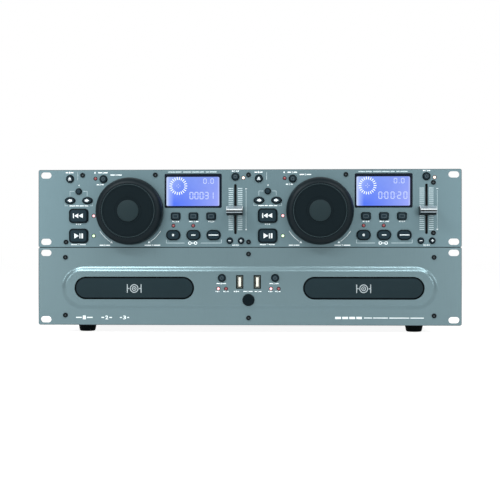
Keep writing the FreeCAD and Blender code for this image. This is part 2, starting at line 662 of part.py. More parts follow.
def jog_wheel(middle):
    """A jog wheel: its hollow rim with the hub and shaft, the touch plate on it, and the cap."""
    x, z = on_deck(middle, JOG_AT)
    plate_front = JOG_CAP - JOG_REACH
    plate_back = plate_front + JOG_PLATE
    seat = JOG_FACE_RADIUS + JOG_PLATE_CLEARANCE
    edge = seat + JOG_BEAD
    rim_top = plate_front + JOG_BEAD_SINK
    skirt_top = -JOG_GAP - JOG_SKIRT
    inner = JOG_RADIUS - JOG_WALL
    roof = plate_back + JOG_WALL
    corners = [
        (0, plate_back), (seat, plate_back), (seat, rim_top), (edge, rim_top), (JOG_RADIUS, skirt_top),
        (JOG_RADIUS, -JOG_GAP), (inner, -JOG_GAP), (inner, skirt_top), (edge - JOG_WALL, roof),
        (JOG_HUB_RADIUS, roof), (JOG_HUB_RADIUS, -JOG_HUB_GAP), (JOG_SHAFT_RADIUS, -JOG_HUB_GAP),
        (JOG_SHAFT_RADIUS, BOARD_FRONT - JOG_SHAFT_END), (0, BOARD_FRONT - JOG_SHAFT_END),
    ]
    points = [Vec(x + r, FACE_Y + y, z) for r, y in corners]
    shoulder = Vec(
        x + (edge + JOG_RADIUS) / 2 + JOG_ROUND, FACE_Y + (rim_top + skirt_top) / 2 - JOG_ROUND, z)
    edges = []
    for k, start in enumerate(points):
        end = points[(k + 1) % len(points)]
        curved = corners[k] == (edge, rim_top)
        edges.append((Part.Arc(start, shoulder, end) if curved else Part.LineSegment(start, end)).toShape())
    wheel = Part.Face(Part.Wire(edges)).revolve(Vec(x, 0, z), Vec(0, 1, 0), 360)
    plate = rod_y(x, z, JOG_FACE_RADIUS, plate_front, plate_back)
    cap_points = (
        (0, -JOG_REACH), (JOG_CAP_RADIUS - JOG_CAP_BEVEL, -JOG_REACH),
        (JOG_CAP_RADIUS, JOG_CAP_BEVEL - JOG_REACH), (JOG_CAP_RADIUS, plate_front), (0, plate_front),
    )
    return [wheel, plate, spin(cap_points, x, z)]


def pitch_fader(middle):
    """A pitch fader: the roof-shaped knob and the steel lever in its slot."""
    x, slot_z = on_deck(middle, FADER_AT)
    z = slot_z + FADER_REST
    back = -FADER_GAP
    base = Outline(FADER_LENGTH, FADER_HEIGHT, FADER_CORNER)
    ridge = Outline(FADER_RIDGE_LENGTH, FADER_RIDGE_HEIGHT, FADER_CORNER)
    drum = base.prism(x, z, -FADER_SHOULDER, back)
    roof = loft(base.wire(x, -FADER_SHOULDER, z), ridge.wire(x, -FADER_REACH, z))
    lever = block(
        x - FADER_LEVER / 2, x + FADER_LEVER / 2, back - FADER_LEVER_GRIP, BOARD_FRONT - FADER_LEVER_END,
        z - FADER_LEVER_HEIGHT / 2, z + FADER_LEVER_HEIGHT / 2)
    return [fuse([drum, roof]).cut(lever), lever]


# ---------------------------------------------------------------- the player's front
def player_panel():
    """The player's front plate with its long raised field and both tray openings."""
    plate, cuts = rack_plate(PLAYER_Z)
    z = PLAYER_Z + RAISE_Z
    hump = loft(FIELD.wire(0, 0, z), FIELD.wire(0, -RAISE, z, -RAISE_SLOPE))
    cuts.append(FIELD.prism(0, z, FIELD_BACK, PANEL_THICKNESS + CUT, -RAISE_SLOPE))
    cuts += [DOOR.prism(x, z, -RAISE - CUT, PANEL_THICKNESS + CUT) for _, x in DRIVES]
    cuts += screw_holes(PLAYER_SCREWS, PLAYER_Z, SCREW_HOLE_RADIUS, -CUT, PANEL_THICKNESS + CUT)
    front_y = -RAISE - CUT
    cuts.append(POWER.prism(*on_player(POWER_AT), front_y, PANEL_THICKNESS))
    for side in (-1, 1):
        cuts.append(ROUND.prism(side * SOURCE_AT[0], PLAYER_Z + SOURCE_AT[1], front_y, PANEL_THICKNESS))
        for at in SOURCE_LED_AT:
            x, led_z = side * at[0], PLAYER_Z + at[1]
            cuts.append(rod_y(x, led_z, LED_RADIUS + SEAT_CLEARANCE, front_y, PANEL_THICKNESS))
        x, usb_z = side * USB_AT[0], PLAYER_Z + USB_AT[1]
        wide, high = USB_OPENING[0] / 2, USB_OPENING[1] / 2
        cuts.append(block(x - wide, x + wide, front_y, PANEL_THICKNESS, usb_z - high, usb_z + high))
    return fuse([plate, hump]).cut(cuts)


def player_front_board():
    """The small board behind the player's panel, with its pillars and switches."""
    z0, z1 = PLAYER_Z + FRONT_BOARD_Z[0], PLAYER_Z + FRONT_BOARD_Z[1]
    board = block(-FRONT_BOARD_X, FRONT_BOARD_X, BOARD_FRONT, BOARD_FRONT + BOARD, z0, z1)
    pieces = [board] + tact_switch(*on_player(POWER_AT))
    for side in (-1, 1):
        pieces += tact_switch(side * SOURCE_AT[0], PLAYER_Z + SOURCE_AT[1])
        for z in (z0 + PILLAR_INSET, z1 - PILLAR_INSET):
            x = side * (FRONT_BOARD_X - PILLAR_INSET)
            pieces.append(rod_y(x, z, PILLAR_RADIUS, FIELD_BACK, BOARD_FRONT))
    return fuse(pieces)


def usb_socket(x, z):
    """An upright USB socket: its steel shell and the tongue in it."""
    front = -RAISE + USB_SINK
    wide, high = USB_SHELL[0] / 2, USB_SHELL[1] / 2
    end = BOARD_FRONT
    shell = block(x - wide, x + wide, front, end, z - high, z + high)
    room = block(
        x - wide + USB_WALL, x + wide - USB_WALL, front - CUT, end - USB_WALL,
        z - high + USB_WALL, z + high - USB_WALL)
    middle = x + USB_TONGUE_SHIFT
    tongue = block(
        middle - USB_TONGUE / 2, middle + USB_TONGUE / 2, front + USB_TONGUE_SINK, end - USB_WALL,
        z - high + USB_TONGUE_MARGIN, z + high - USB_TONGUE_MARGIN)
    return [shell.cut(room), tongue]


def tray_door(x):
    """A tray's stadium-shaped door with a bevelled front edge."""
    z = PLAYER_Z + RAISE_Z
    front = -RAISE + DOOR_SINK
    slab = DOOR.prism(x, z, front + DOOR_BEVEL, front + DOOR_THICKNESS, -DOOR_CLEARANCE)
    crown = loft(
        DOOR.wire(x, front + DOOR_BEVEL, z, -DOOR_CLEARANCE),
        DOOR.wire(x, front, z, -DOOR_CLEARANCE - DOOR_BEVEL),
    )
    return fuse([slab, crown])


# ---------------------------------------------------------------- trays and drives
def involute_flank(radius_base, tip, half_angle):
    """Points of one flank, as (radius, angle from the tooth's middle), from the base circle to the tip."""
    points = []
    for k in range(FLANK_POINTS):
        radius = radius_base + (tip - radius_base) * k / (FLANK_POINTS - 1)
        roll = math.acos(min(1.0, radius_base / radius))
        points.append((radius, half_angle - (math.tan(roll) - roll)))
    return points


def gear_blank(x, y, z0, z1):
    """A spur gear with involute teeth; a tooth space faces -X, where its rack runs."""
    pressure = math.radians(PRESSURE_ANGLE)
    radius_base = GEAR_RADIUS * math.cos(pressure)
    tip = GEAR_RADIUS + GEAR_MODULE
    root = GEAR_RADIUS - DEDENDUM * GEAR_MODULE
    thickness = (TOOTH_PITCH - BACKLASH) / 2
    half_angle = thickness / (2 * GEAR_RADIUS) + math.tan(pressure) - pressure
    flank = involute_flank(max(radius_base, root), tip, half_angle)
    step = 2 * math.pi / GEAR_TEETH
    corners = []
    for tooth in range(GEAR_TEETH):
        middle = math.pi + (tooth + 0.5) * step
        side = [(root, half_angle)] + flank if root < radius_base else flank
        turn = [(r, middle - a) for r, a in side] + [(r, middle + a) for r, a in reversed(side)]
        corners += [Vec(x + r * math.cos(t), FACE_Y + y + r * math.sin(t), z0) for r, t in turn]
    return Part.Face(Part.makePolygon(corners + corners[:1])).extrude(Vec(0, 0, z1 - z0))


def gear_rack(x, z0, z1):
    """A straight rack along Y with its teeth towards +X; a tooth stands at the gear's middle."""
    slope = math.tan(math.radians(PRESSURE_ANGLE))
    half = (TOOTH_PITCH - BACKLASH) / 4
    tip, root = GEAR_MODULE, DEDENDUM * GEAR_MODULE
    first = -int((GEAR_Y - RACK_START) / TOOTH_PITCH)
    last = int((TRAY_TRAVEL + RACK_OVERRUN) / TOOTH_PITCH) + 1
    start = GEAR_Y + (first - 0.5) * TOOTH_PITCH
    corners = [(-root - RACK_BACK, start), (-root, start)]
    for tooth in range(first, last + 1):
        y = GEAR_Y + tooth * TOOTH_PITCH
        corners += [
            (-root, y - half - root * slope), (tip, y - half + tip * slope),
            (tip, y + half - tip * slope), (-root, y + half + root * slope),
        ]
    end = GEAR_Y + (last + 0.5) * TOOTH_PITCH
    corners += [(-root, end), (-root - RACK_BACK, end)]
    points = [Vec(x + dx, FACE_Y + y, z0) for dx, y in corners]
    return Part.Face(Part.makePolygon(points + points[:1])).extrude(Vec(0, 0, z1 - z0))


def tray_pinion(x):
    """The wheel that drives a tray, on its post."""
    gx = x + GEAR_X
    z1 = TRAY_Z - GEAR_GAP
    z0 = z1 - GEAR_WIDTH
    gear = gear_blank(gx, GEAR_Y, z0, z1)
    hub = rod_z(gx, GEAR_Y, GEAR_HUB_RADIUS, z0 - GEAR_HUB, z0)
    bore = rod_z(gx, GEAR_Y, GEAR_POST_RADIUS + PIVOT_CLEARANCE, z0 - GEAR_HUB - CUT, z1 + CUT)
    return fuse([gear, hub]).cut(bore)


def disc_tray(x):
    """A disc tray: the plate with both disc recesses, the window, the front wall and the rack below."""
    half = TRAY_WIDTH / 2
    top = TRAY_Z + TRAY_THICKNESS
    plate = block(x - half, x + half, TRAY_FRONT, TRAY_FRONT + TRAY_LENGTH, TRAY_Z, top)
    width, thick, high = TRAY_FRONT_WALL
    wall = block(x - width / 2, x + width / 2, TRAY_FRONT, TRAY_FRONT + thick, TRAY_Z, TRAY_Z + high)
    rack = gear_rack(x + GEAR_X - GEAR_RADIUS, TRAY_Z - GEAR_GAP - GEAR_WIDTH, TRAY_Z)
    wide, long = PICKUP_WINDOW
    start = DISC_Y + PICKUP_WINDOW_START
    rear = TRAY_FRONT + TRAY_LENGTH
    cuts = [
        rod_z(x, DISC_Y, DISC_RECESS_RADIUS, top - DISC_RECESS, top + CUT),
        rod_z(x, DISC_Y, SMALL_DISC_RADIUS, top - DISC_RECESS - SMALL_DISC_RECESS, top + CUT),
        block(x - wide / 2, x + wide / 2, start, start + long, TRAY_Z - CUT, top + CUT),
        rod_z(x, DISC_Y - DISC_RECESS_RADIUS + GRIP_NOTCH_RADIUS - TRAY_EDGE / 2, GRIP_NOTCH_RADIUS,
              TRAY_Z - CUT, top + CUT),
        block(x - REAR_CUT / 2, x + REAR_CUT / 2, DISC_Y + DISC_RECESS_RADIUS + TRAY_REAR_WEB,
              rear - TRAY_REAR_WEB, TRAY_Z - CUT, top + CUT),
    ]
    return fuse([plate, wall, rack]).cut(cuts)


def drive_frame(x):
    """A drive's moulded frame: base, both grooved rails, four legs and the pinion's post."""
    outer = TRAY_WIDTH / 2 + RUNNING_CLEARANCE + RAIL_WALL
    inner = TRAY_WIDTH / 2 - RAIL_REACH
    y0, y1 = FRAME_START, FRAME_START + FRAME_LENGTH
    low = TRAY_Z - FRAME_DROP
    high = TRAY_Z + RAIL_TOP
    base = block(x - outer, x + outer, y0, y1, low, low + FRAME_BASE)
    rails, cuts = [], []
    for side in (-1, 1):
        a, b = sorted((x + side * inner, x + side * outer))
        rails.append(block(a, b, y0, y1, low, high))
        a, b = sorted((x + side * (inner - CUT), x + side * (TRAY_WIDTH / 2 + RUNNING_CLEARANCE)))
        cuts.append(block(a, b, y0 - CUT, y1 + CUT, TRAY_Z - RUNNING_CLEARANCE,
                          TRAY_Z + TRAY_THICKNESS + RUNNING_CLEARANCE))
    legs = [rod_z(x + sx * (outer - LEG_INSET), y, LEG_RADIUS, FLOOR_Z, low)
            for sx in (-1, 1) for y in (y0 + LEG_INSET, y1 - LEG_INSET)]
    gx = x + GEAR_X
    gear_low = TRAY_Z - GEAR_GAP - GEAR_WIDTH - GEAR_HUB
    boss = rod_z(gx, GEAR_Y, GEAR_HUB_RADIUS, low, gear_low - RUNNING_CLEARANCE)
    post = rod_z(gx, GEAR_Y, GEAR_POST_RADIUS, low, TRAY_Z - GEAR_GAP)
    start, end = DISC_Y + TURNTABLE_RADIUS, DISC_Y + TURNTABLE_RADIUS + SLED_TRAVEL
    half = SLED_WINDOW / 2
    cuts.append(block(x - half, x + half, start, end, low - CUT, low + FRAME_BASE + CUT))
    cuts.append(rod_z(x, DISC_Y, SPINDLE_SHAFT_RADIUS + PIVOT_CLEARANCE, low - CUT, low + FRAME_BASE + CUT))
    return fuse([base, boss, post] + rails + legs).cut(cuts)


def drive_pieces(x):
    """What a drive's frame carries: the spindle motor, the clamp with its bridge, and the pickup."""
    low = TRAY_Z - FRAME_DROP
    high = TRAY_Z + RAIL_TOP
    outer = TRAY_WIDTH / 2 + RUNNING_CLEARANCE + RAIL_WALL
    motor = rod_z(x, DISC_Y, MOTOR_RADIUS, low - MOTOR_HEIGHT, low)
    bore = SPINDLE_SHAFT_RADIUS + PIVOT_CLEARANCE
    motor = motor.cut(rod_z(x, DISC_Y, bore, low - MOTOR_HEIGHT + MOTOR_FLOOR, low + CUT))
    half = BRIDGE_WIDTH / 2
    bridge = block(x - outer, x + outer, DISC_Y - half, DISC_Y + half, high, high + BRIDGE)
    bridge = bridge.cut(rod_z(x, DISC_Y, CLAMP_RADIUS + BUTTON_CLEARANCE, high - CUT, high + BRIDGE + CUT))
    clamp = fuse([
        rod_z(x, DISC_Y, CLAMP_RADIUS, high - CLAMP_DROP, high + BRIDGE),
        rod_z(x, DISC_Y, CLAMP_FLANGE, high + BRIDGE, high + BRIDGE + CLAMP_THICKNESS),
    ])
    start, end = DISC_Y + TURNTABLE_RADIUS, DISC_Y + TURNTABLE_RADIUS + SLED_TRAVEL
    sled_y = (start + end) / 2
    wide, long = SLED[0] / 2, SLED[1] / 2
    sled = block(x - wide, x + wide, sled_y - long, sled_y + long, low - SLED[2], low + FRAME_BASE)
    eye = rod_z(x, sled_y, LENS_RADIUS, low + FRAME_BASE, low + FRAME_BASE + LENS_HEIGHT)
    rods = []
    ties = []
    for side in (-1, 1):
        rx = x + side * ROD_SPREAD
        rods.append(rod_y(rx, low - ROD_DROP, ROD_RADIUS, start - ROD_END, end + ROD_END))
        for y in (start - ROD_END, end):
            ties.append(block(rx - ROD_CLIP, rx + ROD_CLIP, y, y + ROD_END, low - ROD_DROP - ROD_CLIP, low))
    ties = [tie.cut(rods) for tie in ties]
    return [motor, bridge, clamp, fuse([sled, eye]).cut(rods)] + rods + ties


def spindle(x):
    """A drive's turntable with its centring cone and shaft."""
    top = TRAY_Z - SPINDLE_TOP
    low = TRAY_Z - FRAME_DROP
    disc_top = top - SPINDLE_CONE
    neck_end = low + FRAME_BASE + RUNNING_CLEARANCE
    end = low - MOTOR_HEIGHT + SPINDLE_SHAFT_END
    points = (
        (0, top), (SPINDLE_CONE_TOP, top), (SPINDLE_CONE_RADIUS, disc_top), (TURNTABLE_RADIUS, disc_top),
        (TURNTABLE_RADIUS, disc_top - TURNTABLE), (SPINDLE_NECK, disc_top - TURNTABLE),
        (SPINDLE_NECK, neck_end), (SPINDLE_SHAFT_RADIUS, neck_end), (SPINDLE_SHAFT_RADIUS, end), (0, end),
    )
    return spin_z(points, x, DISC_Y)


# ---------------------------------------------------------------- the player's case
def thread_holes(places):
    """Bars that cut the player panel's screw holes in the tabs behind it."""
    y0, y1 = PANEL_THICKNESS - CUT, PANEL_THICKNESS + TAB_THICKNESS + CUT
    return screw_holes(places, PLAYER_Z, SCREW_SHANK_RADIUS + THREAD_CLEARANCE, y0, y1)


def player_chassis():
    """The player's floor with its side flanges, front tabs and rear wall."""
    y0, y1 = PANEL_THICKNESS, PANEL_THICKNESS + PLAYER_DEPTH
    side = HALF_CASE - SHEET
    top = PLAYER_TOP - SHEET
    floor = block(-side, side, y0, y1, FOOT_HEIGHT, FLOOR_Z)
    rear = block(-side, side, y1 - SHEET, y1, FLOOR_Z, top)
    flanges = [
        block(min(a, b), max(a, b), y0, y1 - SHEET, FLOOR_Z, FLOOR_Z + CHASSIS_FLANGE)
        for a, b in ((-side, -side + SHEET), (side - SHEET, side))
    ]
    low_tabs = [place for place in PLAYER_SCREWS if place[1] < PANEL_HEIGHT / 2]
    tabs = [screw_tab(x, PLAYER_Z + z, "bottom", FLOOR_Z, top) for x, z in low_tabs]
    cuts = thread_holes(low_tabs)
    for sign in (-1, 1):
        for y in COVER_SCREW_Y:
            a, b = sorted((sign * (side - SHEET - CUT), sign * (side + CUT)))
            cuts.append(rod_x(a, b, y, FLOOR_Z + COVER_SCREW_Z, SCREW_SHANK_RADIUS + THREAD_CLEARANCE))
    for x, z in rear_jacks():
        cuts.append(rod_y(x, z, RCA_RADIUS + SEAT_CLEARANCE, y1 - SHEET - CUT, y1 + CUT))
    for x in (-DIN_X, DIN_X):
        cuts.append(rod_y(x, PLAYER_Z + DIN_Z, DIN_RADIUS + SEAT_CLEARANCE, y1 - SHEET - CUT, y1 + CUT))
    wide, high = INLET_OPENING[0] / 2 + INLET_WALL, INLET_OPENING[1] / 2 + INLET_WALL
    wide, high = wide + SEAT_CLEARANCE, high + SEAT_CLEARANCE
    z = PLAYER_Z + INLET_Z
    cuts.append(block(INLET_X - wide, INLET_X + wide, y1 - SHEET - CUT, y1 + CUT, z - high, z + high))
    return fuse([floor, rear] + flanges + tabs).cut(cuts)


def player_cover():
    """The player's cover: top and sides in one sheet, with cooling slots and the upper front tabs."""
    y0, y1 = PANEL_THICKNESS, PANEL_THICKNESS + PLAYER_DEPTH
    side = HALF_CASE - SHEET
    top = block(-HALF_CASE, HALF_CASE, y0, y1, PLAYER_TOP - SHEET, PLAYER_TOP)
    walls = [
        block(min(a, b), max(a, b), y0, y1, FOOT_HEIGHT, PLAYER_TOP - SHEET)
        for a, b in ((-HALF_CASE, -side), (side, HALF_CASE))
    ]
    high_tabs = [place for place in PLAYER_SCREWS if place[1] > PANEL_HEIGHT / 2]
    tabs = [screw_tab(x, PLAYER_Z + z, "top", FLOOR_Z, PLAYER_TOP - SHEET) for x, z in high_tabs]
    cuts = thread_holes(high_tabs)
    middle, half = (FOOT_HEIGHT + PLAYER_TOP) / 2, VENT_HEIGHT / 2
    for sign in (-1, 1):
        a, b = sorted((sign * (side - CUT), sign * (HALF_CASE + CUT)))
        cuts += [rod_x(a, b, y, FLOOR_Z + COVER_SCREW_Z, SCREW_HOLE_RADIUS) for y in COVER_SCREW_Y]
        for k in range(VENT_COUNT):
            y = VENT_START + k * VENT_PITCH
            cuts.append(block(a, b, y, y + VENT_WIDTH, middle - half, middle + half))
    return fuse([top] + walls + tabs).cut(cuts)


def player_boards():
    """The front board, and the main board on the floor with its power transformer and capacitors."""
    z0 = FLOOR_Z + BOARD_STAND
    half, (y0, y1) = MAIN_BOARD_X, MAIN_BOARD_Y
    board = block(-half, half, y0, y1, z0, z0 + BOARD)
    stands = [
        rod_z(sx * (half - PILLAR_INSET), y, PILLAR_RADIUS, FLOOR_Z, z0)
        for sx in (-1, 1) for y in (y0 + PILLAR_INSET, y1 - PILLAR_INSET)
    ]
    top = z0 + BOARD
    width, depth, height = TRANSFORMER
    rear = y1 - PILLAR_INSET
    transformer = block(-width / 2, width / 2, rear - depth, rear, top, top + height)
    cans = [rod_z(x, y0 + CAN_ROW, CAN_RADIUS, top, top + CAN_HEIGHT) for x in (-CAN_PITCH, 0, CAN_PITCH)]
    return [player_front_board(), fuse([board] + stands), transformer] + cans


# ---------------------------------------------------------------- sockets
def rear_jacks():
    """The places of the round output jacks on the player's rear wall."""
    return [(x, PLAYER_Z + RCA_Z + sz * RCA_SPREAD) for x in RCA_X for sz in (-1, 1)]


def rca_jack(x, z, wall):
    """A round phono jack: flange and barrel outside the wall, body inside it."""
    end = wall + RCA_REACH
    pieces = [
        rod_y(x, z, RCA_BASE_RADIUS, wall, wall + RCA_BASE),
        rod_y(x, z, RCA_RADIUS, wall - SHEET, end),
        block(x - RCA_BASE_RADIUS, x + RCA_BASE_RADIUS, wall - SHEET - RCA_BODY, wall - SHEET,
              z - RCA_BASE_RADIUS, z + RCA_BASE_RADIUS),
    ]
    return fuse(pieces).cut(rod_y(x, z, RCA_PIN_RADIUS, end - RCA_PIN_DEPTH, end + CUT))


def din_socket(x, z, wall):
    """A round remote control socket in a rear wall, with its plug's ring groove."""
    front = wall + DIN_REACH
    pieces = [
        rod_y(x, z, DIN_RADIUS, wall - SHEET, front),
        block(x - DIN_RADIUS, x + DIN_RADIUS, wall - SHEET - RCA_BODY, wall - SHEET,
              z - DIN_RADIUS, z + DIN_RADIUS),
    ]
    ring = rod_y(x, z, DIN_BORE_RADIUS, front - DIN_BORE_DEPTH, front + CUT)
    core = rod_y(x, z, DIN_CORE_RADIUS, front - DIN_BORE_DEPTH, front - DIN_CORE_SINK)
    return fuse(pieces).cut(ring.cut(core))


def mains_inlet(wall):
    """The mains inlet: a flange outside the wall, a deep open box through it, and three flat pins."""
    x, z = INLET_X, PLAYER_Z + INLET_Z
    width, height, thick = INLET_FLANGE
    wide, high = INLET_OPENING[0] / 2, INLET_OPENING[1] / 2
    face = wall + thick
    floor = face - INLET_DEPTH
    flange = block(x - width / 2, x + width / 2, wall, face, z - height / 2, z + height / 2)
    shell = block(x - wide - INLET_WALL, x + wide + INLET_WALL, floor - INLET_WALL, wall,
                  z - high - INLET_WALL, z + high + INLET_WALL)
    room = block(x - wide, x + wide, floor, face + CUT, z - high, z + high)
    body = fuse([flange, shell]).cut(room)
    pin_x, pin_z, pin_y = INLET_PIN
    pins = [
        block(x + dx - pin_x / 2, x + dx + pin_x / 2, floor, floor + pin_y,
              z + dz - pin_z / 2, z + dz + pin_z / 2)
        for dx, dz in ((-INLET_PIN_SPREAD, -INLET_PIN_DROP), (0, INLET_PIN_DROP),
                       (INLET_PIN_SPREAD, -INLET_PIN_DROP))
    ]
    return [body] + pins


def sockets():
    """Both USB sockets in front, and every socket in the two rear walls."""
    wall = PANEL_THICKNESS + PLAYER_DEPTH
    upper_wall = PANEL_THICKNESS + CONTROL_DEPTH
    pieces = usb_socket(-USB_AT[0], PLAYER_Z + USB_AT[1]) + usb_socket(USB_AT[0], PLAYER_Z + USB_AT[1])
    pieces += [rca_jack(x, z, wall) for x, z in rear_jacks()]
    for x in (-DIN_X, DIN_X):
        pieces.append(din_socket(x, PLAYER_Z + DIN_Z, wall))
        pieces.append(din_socket(x, CONTROL_Z + REMOTE_Z, upper_wall))
    return pieces + mains_inlet(wall)


# ---------------------------------------------------------------- feet, pads and screws
def rubber_feet():
    """Four tapered feet under the player, and four round pads between the cases."""
    flare = FOOT_BASE_RADIUS + (FOOT_TOP_RADIUS - FOOT_BASE_RADIUS) * FOOT_EDGE / FOOT_HEIGHT
    slant = math.radians(45)
    profile = (
        (0, 0), (FOOT_BASE_RADIUS - FOOT_EDGE, 0),
        (FOOT_BASE_RADIUS - FOOT_EDGE * (1 - math.sin(slant)), FOOT_EDGE * (1 - math.cos(slant))),
        (flare, FOOT_EDGE), (FOOT_TOP_RADIUS, FOOT_HEIGHT), (0, FOOT_HEIGHT),
    )
    feet = [spin_z(profile, sx * FOOT_X, y) for sx in (-1, 1) for y in (FOOT_FRONT, FOOT_REAR)]
    pads = [rod_z(sx * FOOT_X, y, PAD_RADIUS, PLAYER_TOP, PLAYER_TOP + PAD_HEIGHT)
            for sx in (-1, 1) for y in (PAD_FRONT, PAD_REAR)]
    return feet + pads


def panel_screws():
    """Every screw of both front panels and of the player's cover."""
    back = Vec(0, 1, 0)
    screws = [screw(Vec(x, FACE_Y, CONTROL_Z + z), back) for x, z, _ in CONTROL_SCREWS]
    screws += [screw(Vec(x, FACE_Y, PLAYER_Z + z), back) for x, z in PLAYER_SCREWS]
    for sign in (-1, 1):
        for y in COVER_SCREW_Y:
            seat = Vec(sign * HALF_CASE, FACE_Y + y, FLOOR_Z + COVER_SCREW_Z)
            screws.append(screw(seat, Vec(-sign, 0, 0)))
    return screws


def led_lenses():
    """The round lamps of both decks and of the player's panel."""
    lamps = [led(*on_deck(middle, at), 0, PANEL_THICKNESS) for _, middle in DECKS for at in DECK_LEDS]
    for side in (-1, 1):
        lamps += [led(side * x, PLAYER_Z + z, -RAISE, FIELD_BACK) for x, z in SOURCE_LED_AT]
    return lamps


# ---------------------------------------------------------------- the whole object
def build_fixed():
    """Every node that stays still."""
    save("control_panel", control_panel())
    save("control_case", control_case())
    save("control_board", control_board())
    save("display_modules", *display_modules())
    save("led_lenses", *led_lenses())
    save("panel_screws", *panel_screws())
    save("player_panel", player_panel())
    save("player_chassis", player_chassis())
    save("player_cover", player_cover())
    frames = []
    for _, x in DRIVES:
        frames += [drive_frame(x)] + drive_pieces(x)
    save("drive_frames", *frames)
    save("player_boards", *player_boards())
    save("sockets", *sockets())
    save("rubber_feet", *rubber_feet())


def build_deck(side, middle):
    """The moving pieces of one of the controller's decks."""
    for name, (outline, at) in DECK_BUTTONS.items():
        travel = KEY_TRAVEL if outline is KEY else BUTTON_TRAVEL
        save(side + "_" + name, button(outline, *on_deck(middle, at), 0, PANEL_THICKNESS, travel))
    save(side + "_jog_wheel", *jog_wheel(middle))
    save(side + "_pitch_fader", *pitch_fader(middle))


def build_drive(side, x):
    """The moving pieces of one of the player's drives, and its source button."""
    save(side + "_disc_tray", disc_tray(x))
    save(side + "_tray_door", tray_door(x))
    save(side + "_tray_pinion", tray_pinion(x))
    save(side + "_spindle", spindle(x))
    source_x = math.copysign(SOURCE_AT[0], x)
    save(side + "_source_button",
         button(ROUND, source_x, PLAYER_Z + SOURCE_AT[1], -RAISE, FIELD_BACK, BUTTON_TRAVEL))


def main():
    """Builds every node's file."""
    os.makedirs("parts", exist_ok=True)
    build_fixed()
    for side, middle in DECKS:
        build_deck(side, middle)
    for side, x in DRIVES:
        build_drive(side, x)
    save("power_button", button(POWER, *on_player(POWER_AT), -RAISE, FIELD_BACK, POWER_TRAVEL))


main()
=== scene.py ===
import logging
import math
from dataclasses import dataclass
from enum import Enum
from typing import Sequence

import bmesh
import bpy
from mathutils import Matrix, Vector


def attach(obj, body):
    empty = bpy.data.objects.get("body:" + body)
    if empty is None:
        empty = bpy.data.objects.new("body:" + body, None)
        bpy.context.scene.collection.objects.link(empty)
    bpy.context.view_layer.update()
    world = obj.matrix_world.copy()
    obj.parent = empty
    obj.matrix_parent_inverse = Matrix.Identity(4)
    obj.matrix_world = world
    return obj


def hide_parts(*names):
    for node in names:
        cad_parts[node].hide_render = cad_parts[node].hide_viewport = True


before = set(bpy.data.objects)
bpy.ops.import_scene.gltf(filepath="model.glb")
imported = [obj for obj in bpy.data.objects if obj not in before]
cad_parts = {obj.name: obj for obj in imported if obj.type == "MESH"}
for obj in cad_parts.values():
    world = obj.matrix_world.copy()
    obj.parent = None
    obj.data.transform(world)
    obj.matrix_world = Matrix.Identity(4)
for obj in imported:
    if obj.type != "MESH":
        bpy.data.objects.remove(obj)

LOG = logging.getLogger("disc_player")

MM = 0.001                   # every size below is in millimetres
MICRON = 1e-6
FACE_Y = -121.5              # both panels' front face
CONTROL_Z = 97.8             # the control panel's lower edge
PLAYER_Z = 9.0               # the player panel's lower edge
FIELD_Z = PLAYER_Z + 42.4    # the middle of the player's raised field
PANEL_HALF = (241.3, 44.45)  # half of a panel's width and height
PANEL = 3.0                  # the panels' thickness
RAISE = 2.5                  # how far the raised field stands out
BOARD_FRONT = 12.0           # how far the boards lie behind the panels' front face
DECK_OFFSET = 108.3          # from the object's middle to a deck's
TRAY_X = 130.6               # from the object's middle to a drive's
JOG_AT = (-27.2, 41.2)       # the jog wheel's place on its deck
FADER_X = 93.3               # the fader's place along its deck
WELD = 2e-4                  # points closer than this become one
AXIS = 1e-4                  # the radius a turned solid keeps on its axis
PROUD = 0.01                 # how far printing stands out
INK = 0.05                   # how thick printing is
DARK, LIGHT = 0.3, 0.7       # where a noise's dark and light tones end
WHITE = (1.0, 1.0, 1.0)
CASES = "cases"

Pair = tuple[float, float]
Triple = tuple[float, float, float]
Stop = tuple[float, Triple]
Socket = bpy.types.NodeSocket
Mesh = bpy.types.Mesh
Object = bpy.types.Object


class Side(Enum):
    """The two decks and the two drives."""

    LEFT = "left"
    RIGHT = "right"

    @property
    def sign(self) -> int:
        """Which way the side lies along X."""
        return -1 if self is Side.LEFT else 1

    @property
    def deck_x(self) -> float:
        """The middle of the side's deck."""
        return self.sign * DECK_OFFSET

    @property
    def drive_x(self) -> float:
        """The middle of the side's drive."""
        return self.sign * TRAY_X


